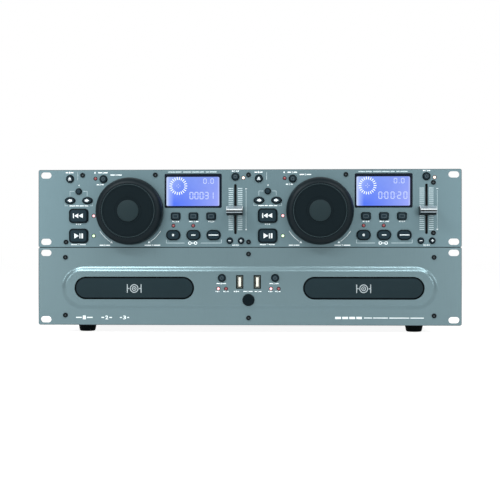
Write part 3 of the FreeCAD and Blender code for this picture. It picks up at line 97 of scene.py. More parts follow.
# ---------------------------------------------------------------- node trees
class Nodes:
    """A node tree, with short ways to add and feed nodes."""

    prefix = "ShaderNode"

    def __init__(self, tree: bpy.types.NodeTree) -> None:
        """Keeps the tree that is built."""
        self.tree = tree

    def feed(self, socket: Socket, value: object) -> None:
        """Links another socket into this one, or sets its plain value.

        Args:
            socket: the input.
            value: another node's socket, or a plain value.
        """
        if isinstance(value, Socket):
            self.tree.links.new(value, socket)
        else:
            socket.default_value = value

    def add(self, kind: str, feeds: dict[str | int, object] | None = None, **settings: object) -> bpy.types.Node:
        """Adds a node.

        Args:
            kind: the node's type, without the tree's prefix.
            feeds: the sockets and plain values that go into its inputs.
            settings: attributes to set on it.

        Returns:
            The new node.
        """
        node = self.tree.nodes.new(kind if kind.startswith(("Shader", "NodeGroup")) else self.prefix + kind)
        for key, value in settings.items():
            setattr(node, key, value)
        for key, value in (feeds or {}).items():
            self.feed(node.inputs[key], value)
        return node

    def math(self, work: str, *values: object) -> Socket:
        """Works out one number from sockets and plain numbers."""
        return self.add("Math", dict(enumerate(values)), operation=work).outputs[0]

    def span(self, value: Socket, low: float, high: float, start: float = 0.0, end: float = 1.0,
             **settings: object) -> Socket:
        """Maps a value between start and end onto the span from low to high."""
        feeds = {"Value": value, "From Min": start, "From Max": end, "To Min": low, "To Max": high}
        return self.add("MapRange", feeds, **settings).outputs["Result"]

    def seen(self) -> Socket:
        """One for what is seen directly, in a reflection or through glass; nothing for light that is cast.

        Returns:
            A socket that is 1 or 0.
        """
        rays = self.add("LightPath").outputs
        near = self.math("MAXIMUM", rays["Is Camera Ray"], rays["Is Glossy Ray"])
        return self.math("MAXIMUM", near, rays["Is Transmission Ray"])


class Paint(Nodes):
    """A material's tree, with the textures that the finishes share."""

    def __init__(self, name: str) -> None:
        """Makes a new material and keeps its tree.

        Args:
            name: the material's name.
        """
        self.material = bpy.data.materials.new(name)
        self.material.use_nodes = True
        super().__init__(self.material.node_tree)
        self.shader = self.tree.nodes["Principled BSDF"]

    def put(self, values: dict[str, object]) -> None:
        """Feeds the shader's own inputs."""
        for key, value in values.items():
            self.feed(self.shader.inputs[key], value)

    def place(self) -> Socket:
        """The piece's own coordinates."""
        return self.add("TexCoord").outputs["Object"]

    def parts(self) -> bpy.types.NodeOutputs:
        """The piece's own coordinates, as X, Y and Z."""
        return self.add("SeparateXYZ", {"Vector": self.place()}).outputs

    def grain(self, scale: float, detail: float = 3.0, stretch: Triple = (1.0, 1.0, 1.0)) -> Socket:
        """Noise on the piece's own coordinates, with so many grains to a metre."""
        mapped = self.add("Mapping", {"Vector": self.place(), "Scale": stretch}).outputs["Vector"]
        return self.add("TexNoise", {"Vector": mapped, "Scale": scale, "Detail": detail}).outputs["Fac"]

    def ramp(self, value: Socket, *stops: Stop) -> Socket:
        """A colour ramp through places and colours, in order.

        Args:
            value: what the ramp reads.
            stops: each stop's place from 0 to 1, and its colour.

        Returns:
            The colour.
        """
        node = self.add("ValToRGB", {"Fac": value})
        elements = node.color_ramp.elements
        for element, (position, colour) in zip(elements[:2], (stops[0], stops[-1])):
            element.position, element.color = position, solid(colour)
        for position, colour in stops[1:-1]:
            elements.new(position).color = solid(colour)
        return node.outputs["Color"]

    def tones(self, noise: Socket, low: Triple, high: Triple) -> Socket:
        """A noise's dark and light tones."""
        return self.ramp(noise, (DARK, low), (LIGHT, high))

    def mix(self, share: object, first: object, second: object, **settings: object) -> Socket:
        """Mixes two colours."""
        return self.add("MixRGB", {0: share, 1: first, 2: second}, **settings).outputs[0]

    def bump(self, value: Socket, depth: float, strength: float) -> None:
        """Puts a height on the shader's normal, over what is there.

        Args:
            value: the height, 0 to 1.
            depth: the height's size in metres.
            strength: the bump's strength.
        """
        normal = self.shader.inputs["Normal"]
        node = self.add("Bump", {"Height": value, "Distance": depth, "Strength": strength})
        if normal.is_linked:
            self.feed(node.inputs["Normal"], normal.links[0].from_socket)
        self.feed(normal, node.outputs["Normal"])


def shade(colour: Triple, factor: float) -> Triple:
    """A colour made lighter or darker by a factor."""
    return tuple(min(1.0, c * factor) for c in colour)


def solid(colour: Triple) -> tuple[float, float, float, float]:
    """A colour that nothing is seen through."""
    return (*colour, 1.0)


# ---------------------------------------------------------------- finishes
@dataclass(frozen=True)
class Finish:
    """A surface with fine grain, patchy tone and a slight bump in micrometres."""

    name: str
    colour: Triple
    roughness: float = 0.45
    grain: float = 900.0
    tone: float = 0.06
    bump: float = 20.0
    strength: float = 0.25
    gloss: float = 0.5
    metallic: float = 0.0
    stretch: Triple = (1.0, 1.0, 1.0)
    sheen: Triple = (0.90, 0.97, 1.0)
    patchy: float = 0.12
    patch: float = 45.0

    def material(self) -> bpy.types.Material:
        """The finish's material, made once."""
        return bpy.data.materials.get(self.name) or self.build()

    def tinted(self, paint: Paint, tone: Socket) -> Socket:
        """The base colour; a finish of more than one colour changes it here."""
        return tone

    def relieve(self, paint: Paint) -> None:
        """Adds larger forms to the shader's normal; a plain finish has none."""

    def build(self) -> bpy.types.Material:
        """Builds the material's nodes.

        Returns:
            The new material.
        """
        paint = Paint(self.name)
        fine, wide = paint.grain(self.grain, 3.0, self.stretch), paint.grain(self.grain / self.patch, 2.0)
        half = paint.span(paint.math("ADD", fine, wide), 0.0, 0.5)
        tone = paint.tones(half, shade(self.colour, 1.0 - self.tone), shade(self.colour, 1.0 + self.tone))
        spread = self.roughness * self.patchy
        paint.put({
            "Metallic": self.metallic, "Specular IOR Level": self.gloss, "Specular Tint": solid(self.sheen),
            "Base Color": self.tinted(paint, tone),
            "Roughness": paint.span(wide, self.roughness - spread, self.roughness + spread)})
        paint.bump(fine, self.bump * MICRON, self.strength)
        self.relieve(paint)
        return paint.material


@dataclass(frozen=True)
class PanelFinish(Finish):
    """Satin metallic paint on a rack panel, with painted shade along its bevelled edges where the panels meet.

    The field is given by half its straight length, its radius and the height of its middle.
    """

    middle_z: float = 0.0
    half: Pair = PANEL_HALF
    edge_width: float = 0.5
    # edge: the colour of the painted shade along the bevels and the seam between the panels
    edge: Triple = (0.020, 0.034, 0.040)
    field: Triple = (0.0, 0.0, 0.0)
    slope: float = 5.5
    steepness: float = 0.32

    def tinted(self, paint: Paint, tone: Socket) -> Socket:
        """Paints shade over the paint past the places where the bevels start.

        Args:
            paint: the material being built.
            tone: the paint's own colour.

        Returns:
            The colour with its painted edge shade.
        """
        place = paint.parts()
        up = paint.math("SUBTRACT", place["Z"], self.middle_z * MM)
        past = [paint.math("GREATER_THAN", paint.math("ABSOLUTE", value), (half - self.edge_width) * MM)
                for value, half in zip((place["X"], up), self.half)]
        return paint.mix(paint.math("MAXIMUM", *past), tone, solid(self.edge))

    def relieve(self, paint: Paint) -> None:
        """Rounds the raised field's flat slope into an S.

        Args:
            paint: the material being built.
        """
        straight, radius, middle = (size * MM for size in self.field)
        if not radius:
            return
        place = paint.parts()
        past = paint.math("MAXIMUM", paint.math("SUBTRACT", paint.math("ABSOLUTE", place["X"]), straight), 0.0)
        up = paint.math("SUBTRACT", place["Z"], middle)
        away = paint.math("SQRT", paint.math("ADD", *(paint.math("MULTIPLY", value, value) for value in (past, up))))
        curves = [paint.span(away, 1.0, 0.0, radius - self.slope * MM, radius, interpolation_type=kind)
                  for kind in ("SMOOTHERSTEP", "LINEAR")]
        paint.bump(paint.math("SUBTRACT", *curves), RAISE * MM * self.steepness, 1.0)


@dataclass(frozen=True)
class LitFinish(Finish):
    """A lens with light behind it, brightest at its middle."""

    glow: Triple = WHITE
    core: Triple = WHITE
    power: float = 1.0

    def build(self) -> bpy.types.Material:
        """Builds the material's nodes.

        Returns:
            The material.
        """
        paint = Paint(self.name)
        facing = paint.add("LayerWeight", {"Blend": 0.35}).outputs["Facing"]
        paint.put({
            "Roughness": self.roughness, "Emission Strength": self.power,
            "Base Color": paint.tones(paint.grain(self.grain), self.colour, shade(self.colour, 1.15)),
            "Emission Color": paint.ramp(facing, (0.0, self.core), (0.75, self.glow))})
        return paint.material


@dataclass(frozen=True)
class ScreenFinish(Finish):
    """A backlit blue screen: pale at its left edge, deep at the lower left, violet to the right."""

    lower: Sequence[Stop] = (
        (0.0, (0.62, 0.72, 0.96)), (0.045, (0.30, 0.41, 0.92)), (0.14, (0.045, 0.145, 0.90)),
        (0.45, (0.110, 0.205, 0.88)), (0.75, (0.200, 0.285, 0.87)), (0.965, (0.28, 0.34, 0.90)),
        (1.0, (0.50, 0.57, 0.96)))
    upper: Sequence[Stop] = (
        (0.0, (0.56, 0.66, 0.94)), (0.06, (0.34, 0.46, 0.90)), (0.30, (0.155, 0.275, 0.85)),
        (0.65, (0.185, 0.285, 0.85)), (0.965, (0.22, 0.31, 0.85)), (1.0, (0.46, 0.53, 0.95)))
    height: Sequence[Stop] = ((0.1, (0.0, 0.0, 0.0)), (0.95, WHITE))
    haze: Triple = (0.94, 0.94, 0.96)

    def build(self) -> bpy.types.Material:
        """Builds the material's nodes.

        Returns:
            The material.
        """
        paint = Paint(self.name)
        place = paint.add("UVMap", uv_map="screen").outputs["UV"]
        across, up = paint.add("SeparateXYZ", {"Vector": place}).outputs[:2]
        lower, upper = paint.ramp(across, *self.lower), paint.ramp(across, *self.upper)
        haze = paint.tones(paint.grain(self.grain), self.haze, WHITE)
        blend = paint.mix(1.0, paint.mix(paint.ramp(up, *self.height), lower, upper), haze, blend_type="MULTIPLY")
        paint.put({"Roughness": self.roughness, "Base Color": solid(self.colour), "Emission Strength": 1.0,
                   "Emission Color": blend})
        return paint.material


@dataclass(frozen=True)
class BoardFinish(Finish):
    """A circuit board, green where it is board and black where parts stand on it."""

    at: float = FACE_Y + BOARD_FRONT - 0.05
    parts: Triple = (0.012, 0.012, 0.013)

    def build(self) -> bpy.types.Material:
        """Builds the material's nodes.

        Returns:
            The material.
        """
        paint = Paint(self.name)
        beyond = paint.math("GREATER_THAN", paint.parts()["Y"], self.at * MM)
        fine = paint.grain(self.grain)
        board = paint.ramp(fine, (0.35, shade(self.colour, 0.8)), (0.65, shade(self.colour, 1.25)))
        parts = paint.tones(fine, self.parts, shade(self.parts, 1.3))
        paint.put({"Roughness": self.roughness, "Specular IOR Level": self.gloss,
                   "Base Color": paint.mix(beyond, parts, board)})
        paint.bump(fine, self.bump * MICRON, self.strength)
        return paint.material


PANEL_PAINT = {"roughness": 0.28, "grain": 1500.0, "tone": 0.05, "bump": 4.0, "strength": 0.10, "gloss": 0.3,
               "metallic": 0.52, "stretch": (1.0, 1.0, 0.04), "patchy": 0.02}
CONTROL_PAINT = PanelFinish("control_panel_paint", (0.117, 0.184, 0.206), middle_z=CONTROL_Z + PANEL_HALF[1],
                            **PANEL_PAINT)
PLAYER_PAINT = PanelFinish("player_panel_paint", (0.117, 0.178, 0.196), middle_z=PLAYER_Z + PANEL_HALF[1],
                           field=(189.7, 24.6, FIELD_Z), **PANEL_PAINT)
CASE_STEEL = Finish("black_powder_coat", (0.030, 0.031, 0.033), 0.55, 1500.0, 0.12, 60.0, 0.5, 0.3)
BUTTON_BLACK = Finish("gloss_black_button", (0.0030, 0.0070, 0.0095), 0.34, 1800.0, 0.10, 10.0, 0.1, 0.05)
BUTTON_FACE = Finish("black_button_face", (0.0120, 0.0245, 0.0325), 0.36, 1800.0, 0.10, 10.0, 0.1, 0.07)
SIGN_WHITE = Finish("white_sign_ink", (0.72, 0.80, 0.82), 0.6, 2000.0, 0.03)
PANEL_INK = Finish("pale_panel_ink", (0.78, 0.87, 0.89), 0.6, 2000.0, 0.04)
DIM_INK = Finish("dim_panel_ink", (0.44, 0.55, 0.58), 0.6, 2000.0, 0.04)
SIGN_GREY = Finish("grey_sign_ink", (0.034, 0.052, 0.060), 0.6, 2000.0, 0.04)
WHEEL_RIM = Finish("satin_wheel_rim", (0.0018, 0.0055, 0.0078), 0.42, 1500.0, 0.10, 20.0, 0.2, 0.11)
WHEEL_PLATE = Finish("matt_wheel_plate", (0.0042, 0.0084, 0.0106), 0.45, 1300.0, 0.10, 30.0, 0.3, 0.05)
WHEEL_CAP = Finish("grey_wheel_cap", (0.0160, 0.0270, 0.0305), 0.42, 1300.0, 0.08, 20.0, 0.3, 0.05)
# A pale ring on the touch plate's edge: a painted highlight of its lit edge.
WHEEL_EDGE_HIGHLIGHT = Finish("painted_wheel_edge_highlight", (0.040, 0.062, 0.068), 0.5, 1300.0, 0.08, gloss=0.1)
# A dark ring round each lamp's hole: painted shade in the hole.
LAMP_HOLE_SHADE = Finish("painted_lamp_hole_shade", (0.016, 0.012, 0.014), 0.5, 1300.0, 0.08, gloss=0.1)
KNOB_SILVER = Finish("bright_knob_silver", (0.24, 0.29, 0.32), 0.30, 1800.0, 0.04, 10.0, 0.1, 0.3, 0.4)
# The pale pointer line is print; the same pale finish on the knob's ends is a painted highlight.
KNOB_LINE_AND_END_HIGHLIGHT = Finish("pale_knob_line_and_painted_end_highlight", (0.58, 0.64, 0.66), 0.45, 1800.0, 0.04, 10.0, 0.1, 0.3)
# The dark lower strip is a painted-shade copy of the silver knob.
KNOB_UNDERSIDE_SHADE = Finish("knob_underside_painted_shade", (0.006, 0.010, 0.012), 0.35, 1800.0, 0.08, 10.0, 0.1, 0.1)
FRAME_BLACK = Finish("gloss_black_frame", (0.003, 0.006, 0.013), 0.22, 1200.0, 0.10, 10.0, 0.1, 0.08)
SCREW_BLACK = Finish("blackened_screw", (0.005, 0.0075, 0.009), 0.32, 1500.0, 0.15, 10.0, 0.2, 0.05)
# A lighter grey in the screw's hex socket: a painted glint.
SCREW_SOCKET_GLINT = Finish("screw_socket_painted_glint", (0.022, 0.034, 0.038), 0.5, 1500.0, 0.10)
DOOR_PLASTIC = Finish("charcoal_door", (0.0135, 0.0250, 0.0300), 0.38, 1600.0, 0.07, 20.0, 0.2, 0.05)
# Dark door edge: painted shade in the gap round the door.
DOOR_EDGE_SHADE = Finish("door_edge_painted_shade", (0.003, 0.006, 0.008), 0.5, 1600.0, 0.10, gloss=0.04)
DOOR_MARK = Finish("grey_door_mark", (0.34, 0.40, 0.42), 0.55, 1600.0, 0.04)
TRAY_PLASTIC = Finish("charcoal_tray", (0.020, 0.022, 0.025), 0.5, 1400.0, 0.10, 40.0, 0.4, 0.25)
DRIVE_PLASTIC = Finish("drive_moulding", (0.028, 0.028, 0.030), 0.6, 1400.0, 0.10, 40.0, 0.4, 0.25)
GEAR_WHITE = Finish("natural_acetal", (0.72, 0.71, 0.66), 0.4, 1400.0, 0.03, 10.0, 0.2)
RUBBER = Finish("black_rubber", (0.0045, 0.0070, 0.0075), 0.75, 1100.0, 0.15, 80.0, 0.5, 0.05)
PLATED_STEEL = Finish("plated_steel", (0.50, 0.50, 0.48), 0.30, 1500.0, 0.05, 10.0, 0.2, metallic=0.9)
SHELL_STEEL = Finish("dull_shell_steel", (0.17, 0.19, 0.17), 0.40, 1500.0, 0.05, 10.0, 0.2, metallic=0.5)
TONGUE_CREAM = Finish("cream_tongue", (0.74, 0.75, 0.66), 0.45, 1500.0, 0.03)
# Real black moulding on the rear sockets; inside the USB shells it is painted shade.
SOCKET_BLACK_AND_SHADE = Finish("socket_moulding_and_painted_shade", (0.008, 0.009, 0.010), 0.5, 1400.0, 0.12, 30.0, 0.3, 0.1)
CONTACT_GOLD = Finish("gilt_contact", (0.75, 0.52, 0.20), 0.25, 1500.0, 0.04, 10.0, 0.1, metallic=1.0)
RING_RED = Finish("red_jack_ring", (0.42, 0.012, 0.015), 0.4, 1500.0, 0.06)
RING_WHITE = Finish("white_jack_ring", (0.70, 0.70, 0.68), 0.4, 1500.0, 0.04)
SCREEN = ScreenFinish("blue_screen", (0.01, 0.012, 0.03), 0.25, 220.0)
SEGMENT = LitFinish("screen_segment", (0.02, 0.022, 0.03), 0.4, glow=(0.52, 0.62, 1.0), core=(0.52, 0.62, 1.0))
DIAL_TICK = LitFinish("screen_tick", (0.02, 0.022, 0.03), 0.4, glow=(0.86, 0.93, 1.0), core=(0.86, 0.93, 1.0),
                      power=1.15)
# The unlit lens still glows faintly, brightest at its middle: a painted glow.
LAMP_DARK = LitFinish("lamp_unlit_red", (0.16, 0.030, 0.036), 0.2, glow=(0.05, 0.008, 0.008),
                      core=(0.08, 0.012, 0.012))
LAMP_RED = LitFinish("lamp_lit_red", (0.6, 0.1, 0.12), 0.3, glow=(0.80, 0.22, 0.27), core=(1.0, 0.86, 0.88))
LAMP_GREEN = LitFinish("lamp_lit_green", (0.3, 0.6, 0.25), 0.3, glow=(0.38, 0.78, 0.30), core=(0.88, 1.0, 0.82))
LAMP_AMBER = LitFinish("lamp_lit_amber", (0.7, 0.5, 0.4), 0.3, glow=(0.95, 0.50, 0.38), core=(1.0, 0.95, 0.90))


# ---------------------------------------------------------------- shapes
def quarter(steps: int) -> list[float]:
    """Turns from 0 to 90 degrees, in radians."""
    return [math.radians(90 * k / steps) for k in range(steps + 1)]


def rounded(front: float, edge: float, gap: float, steps: int) -> list[Pair]:
    """The depths and growths that round a front edge off."""
    return [(front + edge * (1 - math.sin(t)), -gap - edge * (1 - math.cos(t))) for t in quarter(steps)]


def oblong(x: float, z: float, length: float, height: float) -> list[Pair]:
    """A rectangle's corners, from its middle and its sizes."""
    a, b = length / 2, height / 2
    return [(x - a, z - b), (x + a, z - b), (x + a, z + b), (x - a, z + b)]


def added(name: str, data: bpy.types.ID) -> Object:
    """Puts a new object into the scene.

    Args:
        name: the object's name.
        data: what it shows.

    Returns:
        The object.
    """
    thing = bpy.data.objects.new(name, data)
    bpy.context.scene.collection.objects.link(thing)
    return thing


def harvested(carrier: Object) -> Mesh:
    """Turns a carrier's curve or modifier into a plain mesh and removes the carrier.

    Args:
        carrier: the object that makes the shape.

    Returns:
        The mesh.
    """
    mesh = bpy.data.meshes.new_from_object(carrier.evaluated_get(bpy.context.evaluated_depsgraph_get()))
    bpy.data.objects.remove(carrier)
    return mesh


@dataclass(frozen=True)
class Outline:
    """A closed outline that faces the front: a rectangle with round corners, or an ellipse."""

    length: float
    height: float
    corner: float = 0.0
    oval: bool = False

    def loop(self, x: float, z: float, grow: float = 0.0, steps: int = 8) -> list[Pair]:
        """Points round the outline.

        Args:
            x: the middle along X.
            z: the middle along Z.
            grow: how far the outline is moved outwards.
            steps: steps in each quarter.

        Returns:
            The points as (x, z), anticlockwise from the right.
        """
        a, b = self.length / 2 + grow, self.height / 2 + grow
        if self.oval:
            turns = [math.tau * k / (4 * steps) for k in range(4 * steps)]
            return [(x + a * math.cos(t), z + b * math.sin(t)) for t in turns]
        radius = max(0.0, min(self.corner + grow, a, b))
        points = []
        for corner, (sx, sz) in enumerate(((1, 1), (-1, 1), (-1, -1), (1, -1))):
            for k in range(steps + 1):
                t = math.radians(90 * corner + 90 * k / steps)
                points.append((x + sx * (a - radius) + radius * math.cos(t),
                               z + sz * (b - radius) + radius * math.sin(t)))
        return points

    def ring(self, at: Triple, grow: float, steps: int) -> list[Triple]:
        """The outline's points at a depth behind the panels' front face."""
        return [(px, FACE_Y + at[1], pz) for px, pz in self.loop(at[0], at[2], grow, steps)]


def disc(diameter: float) -> Outline:
    """A round outline."""
    return Outline(diameter, diameter, oval=True)


class Shape:
    """Gathers the faces of one piece, in millimetres, and turns them into a mesh."""

    def __init__(self) -> None:
        """Starts with no faces."""
        self.body = bmesh.new()

    def loft(self, rings: Sequence[Sequence[Triple]], mark: int = 0, closed: bool = False,
             inlay: tuple[float, int] | None = None) -> list[bmesh.types.BMFace]:
        """A closed skin through rings of points, with both ends capped.

        Args:
            rings: loops of equal length.
            mark: the material's place in the piece.
            closed: joins the last ring to the first instead of capping.
            inlay: a depth and the material's place of what lies wholly in front of it.

        Returns:
            The faces made.
        """
        rows = [[self.body.verts.new(p) for p in ring] for ring in rings]
        count = len(rows[0])
        made = []
        for low, high in list(zip(rows, rows[1:])) + ([(rows[-1], rows[0])] if closed else []):
            made += [self.body.faces.new((low[k], low[(k + 1) % count], high[(k + 1) % count], high[k]))
                     for k in range(count)]
        if not closed:
            made += [self.body.faces.new(rows[0]), self.body.faces.new(rows[-1])]
        for face in made:
            before = inlay and all(corner.co.y <= FACE_Y + inlay[0] + WELD / 2 for corner in face.verts)
            face.material_index = inlay[1] if before else mark
        return made

    def block(self, x: float, z: float, size: Pair, depths: Pair, mark: int = 0) -> None:
        """A box round a middle, between two depths."""
        self.loft([[(px, FACE_Y + y, pz) for px, pz in oblong(x, z, *size)] for y in depths], mark)

    def prism(self, outline: Outline, x: float, z: float, layers: Sequence[Pair], mark: int = 0, steps: int = 8,
              inlay: tuple[float, int] | None = None) -> None:
        """An outline carried through layers of depth and outward growth; the rest is as loft has it."""
        self.loft([outline.ring((x, y, z), grow, steps) for y, grow in layers], mark, inlay=inlay)

    def frame(self, outlines: tuple[Outline, Outline], at: Pair, layers: Sequence[tuple[float, float, int]],
              mark: int = 0, steps: int = 8, shift: Pair = (0.0, 0.0)) -> None:
        """A closed frame between two outlines.

        Args:
            outlines: the outer and the inner outline.
            at: the outer one's middle, as (x, z).
            layers: (depth, outward growth, 0 for outer or 1 for inner) round the section.
            mark: the material's place.
            steps: steps in each quarter.
            shift: from the outer one's middle to the inner one's.
        """
        self.loft([outlines[which].ring((at[0] + which * shift[0], y, at[1] + which * shift[1]), grow, steps)
                   for y, grow, which in layers], mark, closed=True)

    def lathe(self, profile: Sequence[Pair], start: Triple, segments: int, mark: int = 0,
              toward: Triple = (0.0, 1.0, 0.0)) -> None:
        """A turned solid whose profile starts and ends on its axis.

        Args:
            profile: pairs of radius and place along the axis.
            start: where the axis starts; its y is counted from the panels' front face.
            segments: how many sides it has.
            mark: the material's place.
            toward: the axis's direction.
        """
        axis, start = Vector(toward), Vector((start[0], FACE_Y + start[1], start[2]))
        across = Vector((0, 0, 1)) if abs(axis.z) < 0.5 else Vector((1, 0, 0))
        over, turns = axis.cross(across), [math.tau * k / segments for k in range(segments)]
        rings = []
        for radius, along in profile:
            middle, reach = start + axis * along, max(radius, AXIS)
            rings.append([tuple(middle + across * reach * math.cos(t) + over * reach * math.sin(t)) for t in turns])
        self.loft(rings, mark)

    def slab(self, points: Sequence[Pair], y: float, mark: int = 0) -> None:
        """A thin flat sign whose front lies just proud of depth y."""
        self.loft([[(px, FACE_Y + y + d, pz) for px, pz in points] for d in (PROUD, PROUD - INK)], mark)

    def bar(self, x: float, z: float, length: float, height: float, y: float, mark: int = 0) -> None:
        """A thin flat bar."""
        self.slab(oblong(x, z, length, height), y, mark)

    def line(self, points: Sequence[Pair], width: float, y: float, mark: int = 0) -> None:
        """A thin flat line through points, with square joints.

        Args:
            points: the line's corners, as X and Z.
            width: how wide it is.
            y: the depth of the face it lies on.
            mark: its finish.
        """
        h = width / 2
        for (x0, z0), (x1, z1) in zip(points, points[1:]):
            run = math.hypot(x1 - x0, z1 - z0)
            ux, uz = (x1 - x0) / run, (z1 - z0) / run
            ax, az, bx, bz = x0 - ux * h * 0.5, z0 - uz * h * 0.5, x1 + ux * h * 0.5, z1 + uz * h * 0.5
            self.slab([(ax - uz * h, az + ux * h), (bx - uz * h, bz + ux * h), (bx + uz * h, bz - ux * h),
                       (ax + uz * h, az - ux * h)], y, mark)

    def arc(self, x: float, z: float, radius: float, start: float, end: float, width: float, y: float,
            mark: int = 0, steps: int = 24) -> None:
        """A thin flat arc, in degrees anticlockwise from the right.

        Args:
            x: its centre along X.
            z: its centre along Z.
            radius: from the centre to its middle.
            start: where it starts.
            end: where it ends.
            width: how wide it is.
            y: the depth of the face it lies on.
            mark: its finish.
            steps: how many straight parts it has.
        """
        turns = [math.radians(start + (end - start) * k / steps) for k in range(steps + 1)]
        outer, inner = ([(x + r * math.cos(t), z + r * math.sin(t)) for t in turns]
                        for r in (radius + width / 2, radius - width / 2))
        self.slab(outer + inner[::-1], y, mark)

    def ring(self, x: float, z: float, radius: float, width: float, y: float, mark: int = 0) -> None:
        """A thin flat ring."""
        for half in (0, 180):
            self.arc(x, z, radius, half, half + 180, width, y, mark)

    def words(self, text: str, x: float, z: float, size: float, y: float, weight: float, width: float) -> None:
        """Thin flat lettering, centred.

        Args:
            text: the words.
            x: their middle along X.
            z: their middle along Z.
            size: the capitals' height.
            y: the depth of the face they lie on.
            weight: how much the strokes are thickened.
            width: the length that the words are fitted to.
        """
        curve = bpy.data.curves.new("words", "FONT")
        curve.body, curve.size, curve.align_x, curve.resolution_u = text, 1.0, "CENTER", 3
        curve.offset, curve.extrude = weight, INK / 2 / size
        mesh = harvested(added("words", curve))
        (left, right), (low, high) = ((min(v.co[k] for v in mesh.vertices), max(v.co[k] for v in mesh.vertices))
                                      for k in (0, 1))
        mesh.transform(
            Matrix.Translation((x, FACE_Y + y + PROUD - INK / 2, z)) @ Matrix.Rotation(math.radians(90), 4, "X")
            @ Matrix.Diagonal((width / (right - left), size / (high - low), size, 1.0))
            @ Matrix.Translation((-(left + right) / 2, -(low + high) / 2, 0.0)))
        self.body.from_mesh(mesh)
        bpy.data.meshes.remove(mesh)
        bpy.data.curves.remove(curve)

    def mesh(self, name: str, crease: float = 32.0) -> Mesh:
        """Finishes the mesh: welded, turned outwards, smoothed and in metres.

        Args:
            name: the mesh's name.
            crease: edges sharper than this, in degrees, stay sharp.

        Returns:
            The mesh.
        """
        bmesh.ops.remove_doubles(self.body, verts=self.body.verts, dist=WELD)
        bmesh.ops.dissolve_degenerate(self.body, edges=self.body.edges, dist=WELD)
        bmesh.ops.recalc_face_normals(self.body, faces=self.body.faces)
        mesh = bpy.data.meshes.new(name)
        self.body.to_mesh(mesh)
        self.body.free()
        mesh.transform(Matrix.Scale(MM, 4))
        mesh.polygons.foreach_set("use_smooth", [True] * len(mesh.polygons))
        mesh.set_sharp_from_angle(angle=math.radians(crease))
        return mesh

    def piece(self, name: str, finishes: Sequence[Finish], slot: str, body: str = CASES,
              stands_for: Sequence[str] = (), crease: float = 32.0) -> Object:
        """Finishes the mesh and puts it into the scene; the rest is as place has it."""
        return place(name, self.mesh(name, crease), finishes, slot, body, stands_for)


def place(name: str, mesh: Mesh, finishes: Sequence[Finish], slot: str, body: str = CASES,
          stands_for: Sequence[str] = ()) -> Object:
    """Puts a finished piece into the scene, ties it to its body and hides the nodes it stands for.

    Args:
        name: the piece's name.
        mesh: its mesh, in place.
        finishes: its finishes, in the order of their marks.
        slot: the record's slot; not used.
        body: the body it moves with.
        stands_for: the nodes it is shown in place of.

    Returns:
        The piece.
    """
    piece = added(name, mesh)
    marks = [polygon.material_index for polygon in mesh.polygons]
    mesh.materials.clear()
    for finish in finishes:
        mesh.materials.append(finish.material())
    mesh.polygons.foreach_set("material_index", marks)
    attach(piece, body)
    if stands_for:
        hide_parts(*stands_for)
    LOG.info("%s: %d faces on %s", name, len(mesh.polygons), body)
    return piece


def merged(name: str, *meshes: Mesh) -> Mesh:
    """Joins several meshes, each with its own run of marks.

    Args:
        name: the new mesh's name.
        meshes: the meshes; the first one's marks come first.

    Returns:
        The one mesh.
    """
    body, start = bmesh.new(), 0
    for mesh in meshes:
        before = len(body.faces)
        body.from_mesh(mesh)
        body.faces.ensure_lookup_table()
        for face in body.faces[before:]:
            face.material_index += start
        start += max((p.material_index for p in mesh.polygons), default=0) + 1
        bpy.data.meshes.remove(mesh)
    result = bpy.data.meshes.new(name)
    body.to_mesh(result)
    body.free()
    return result


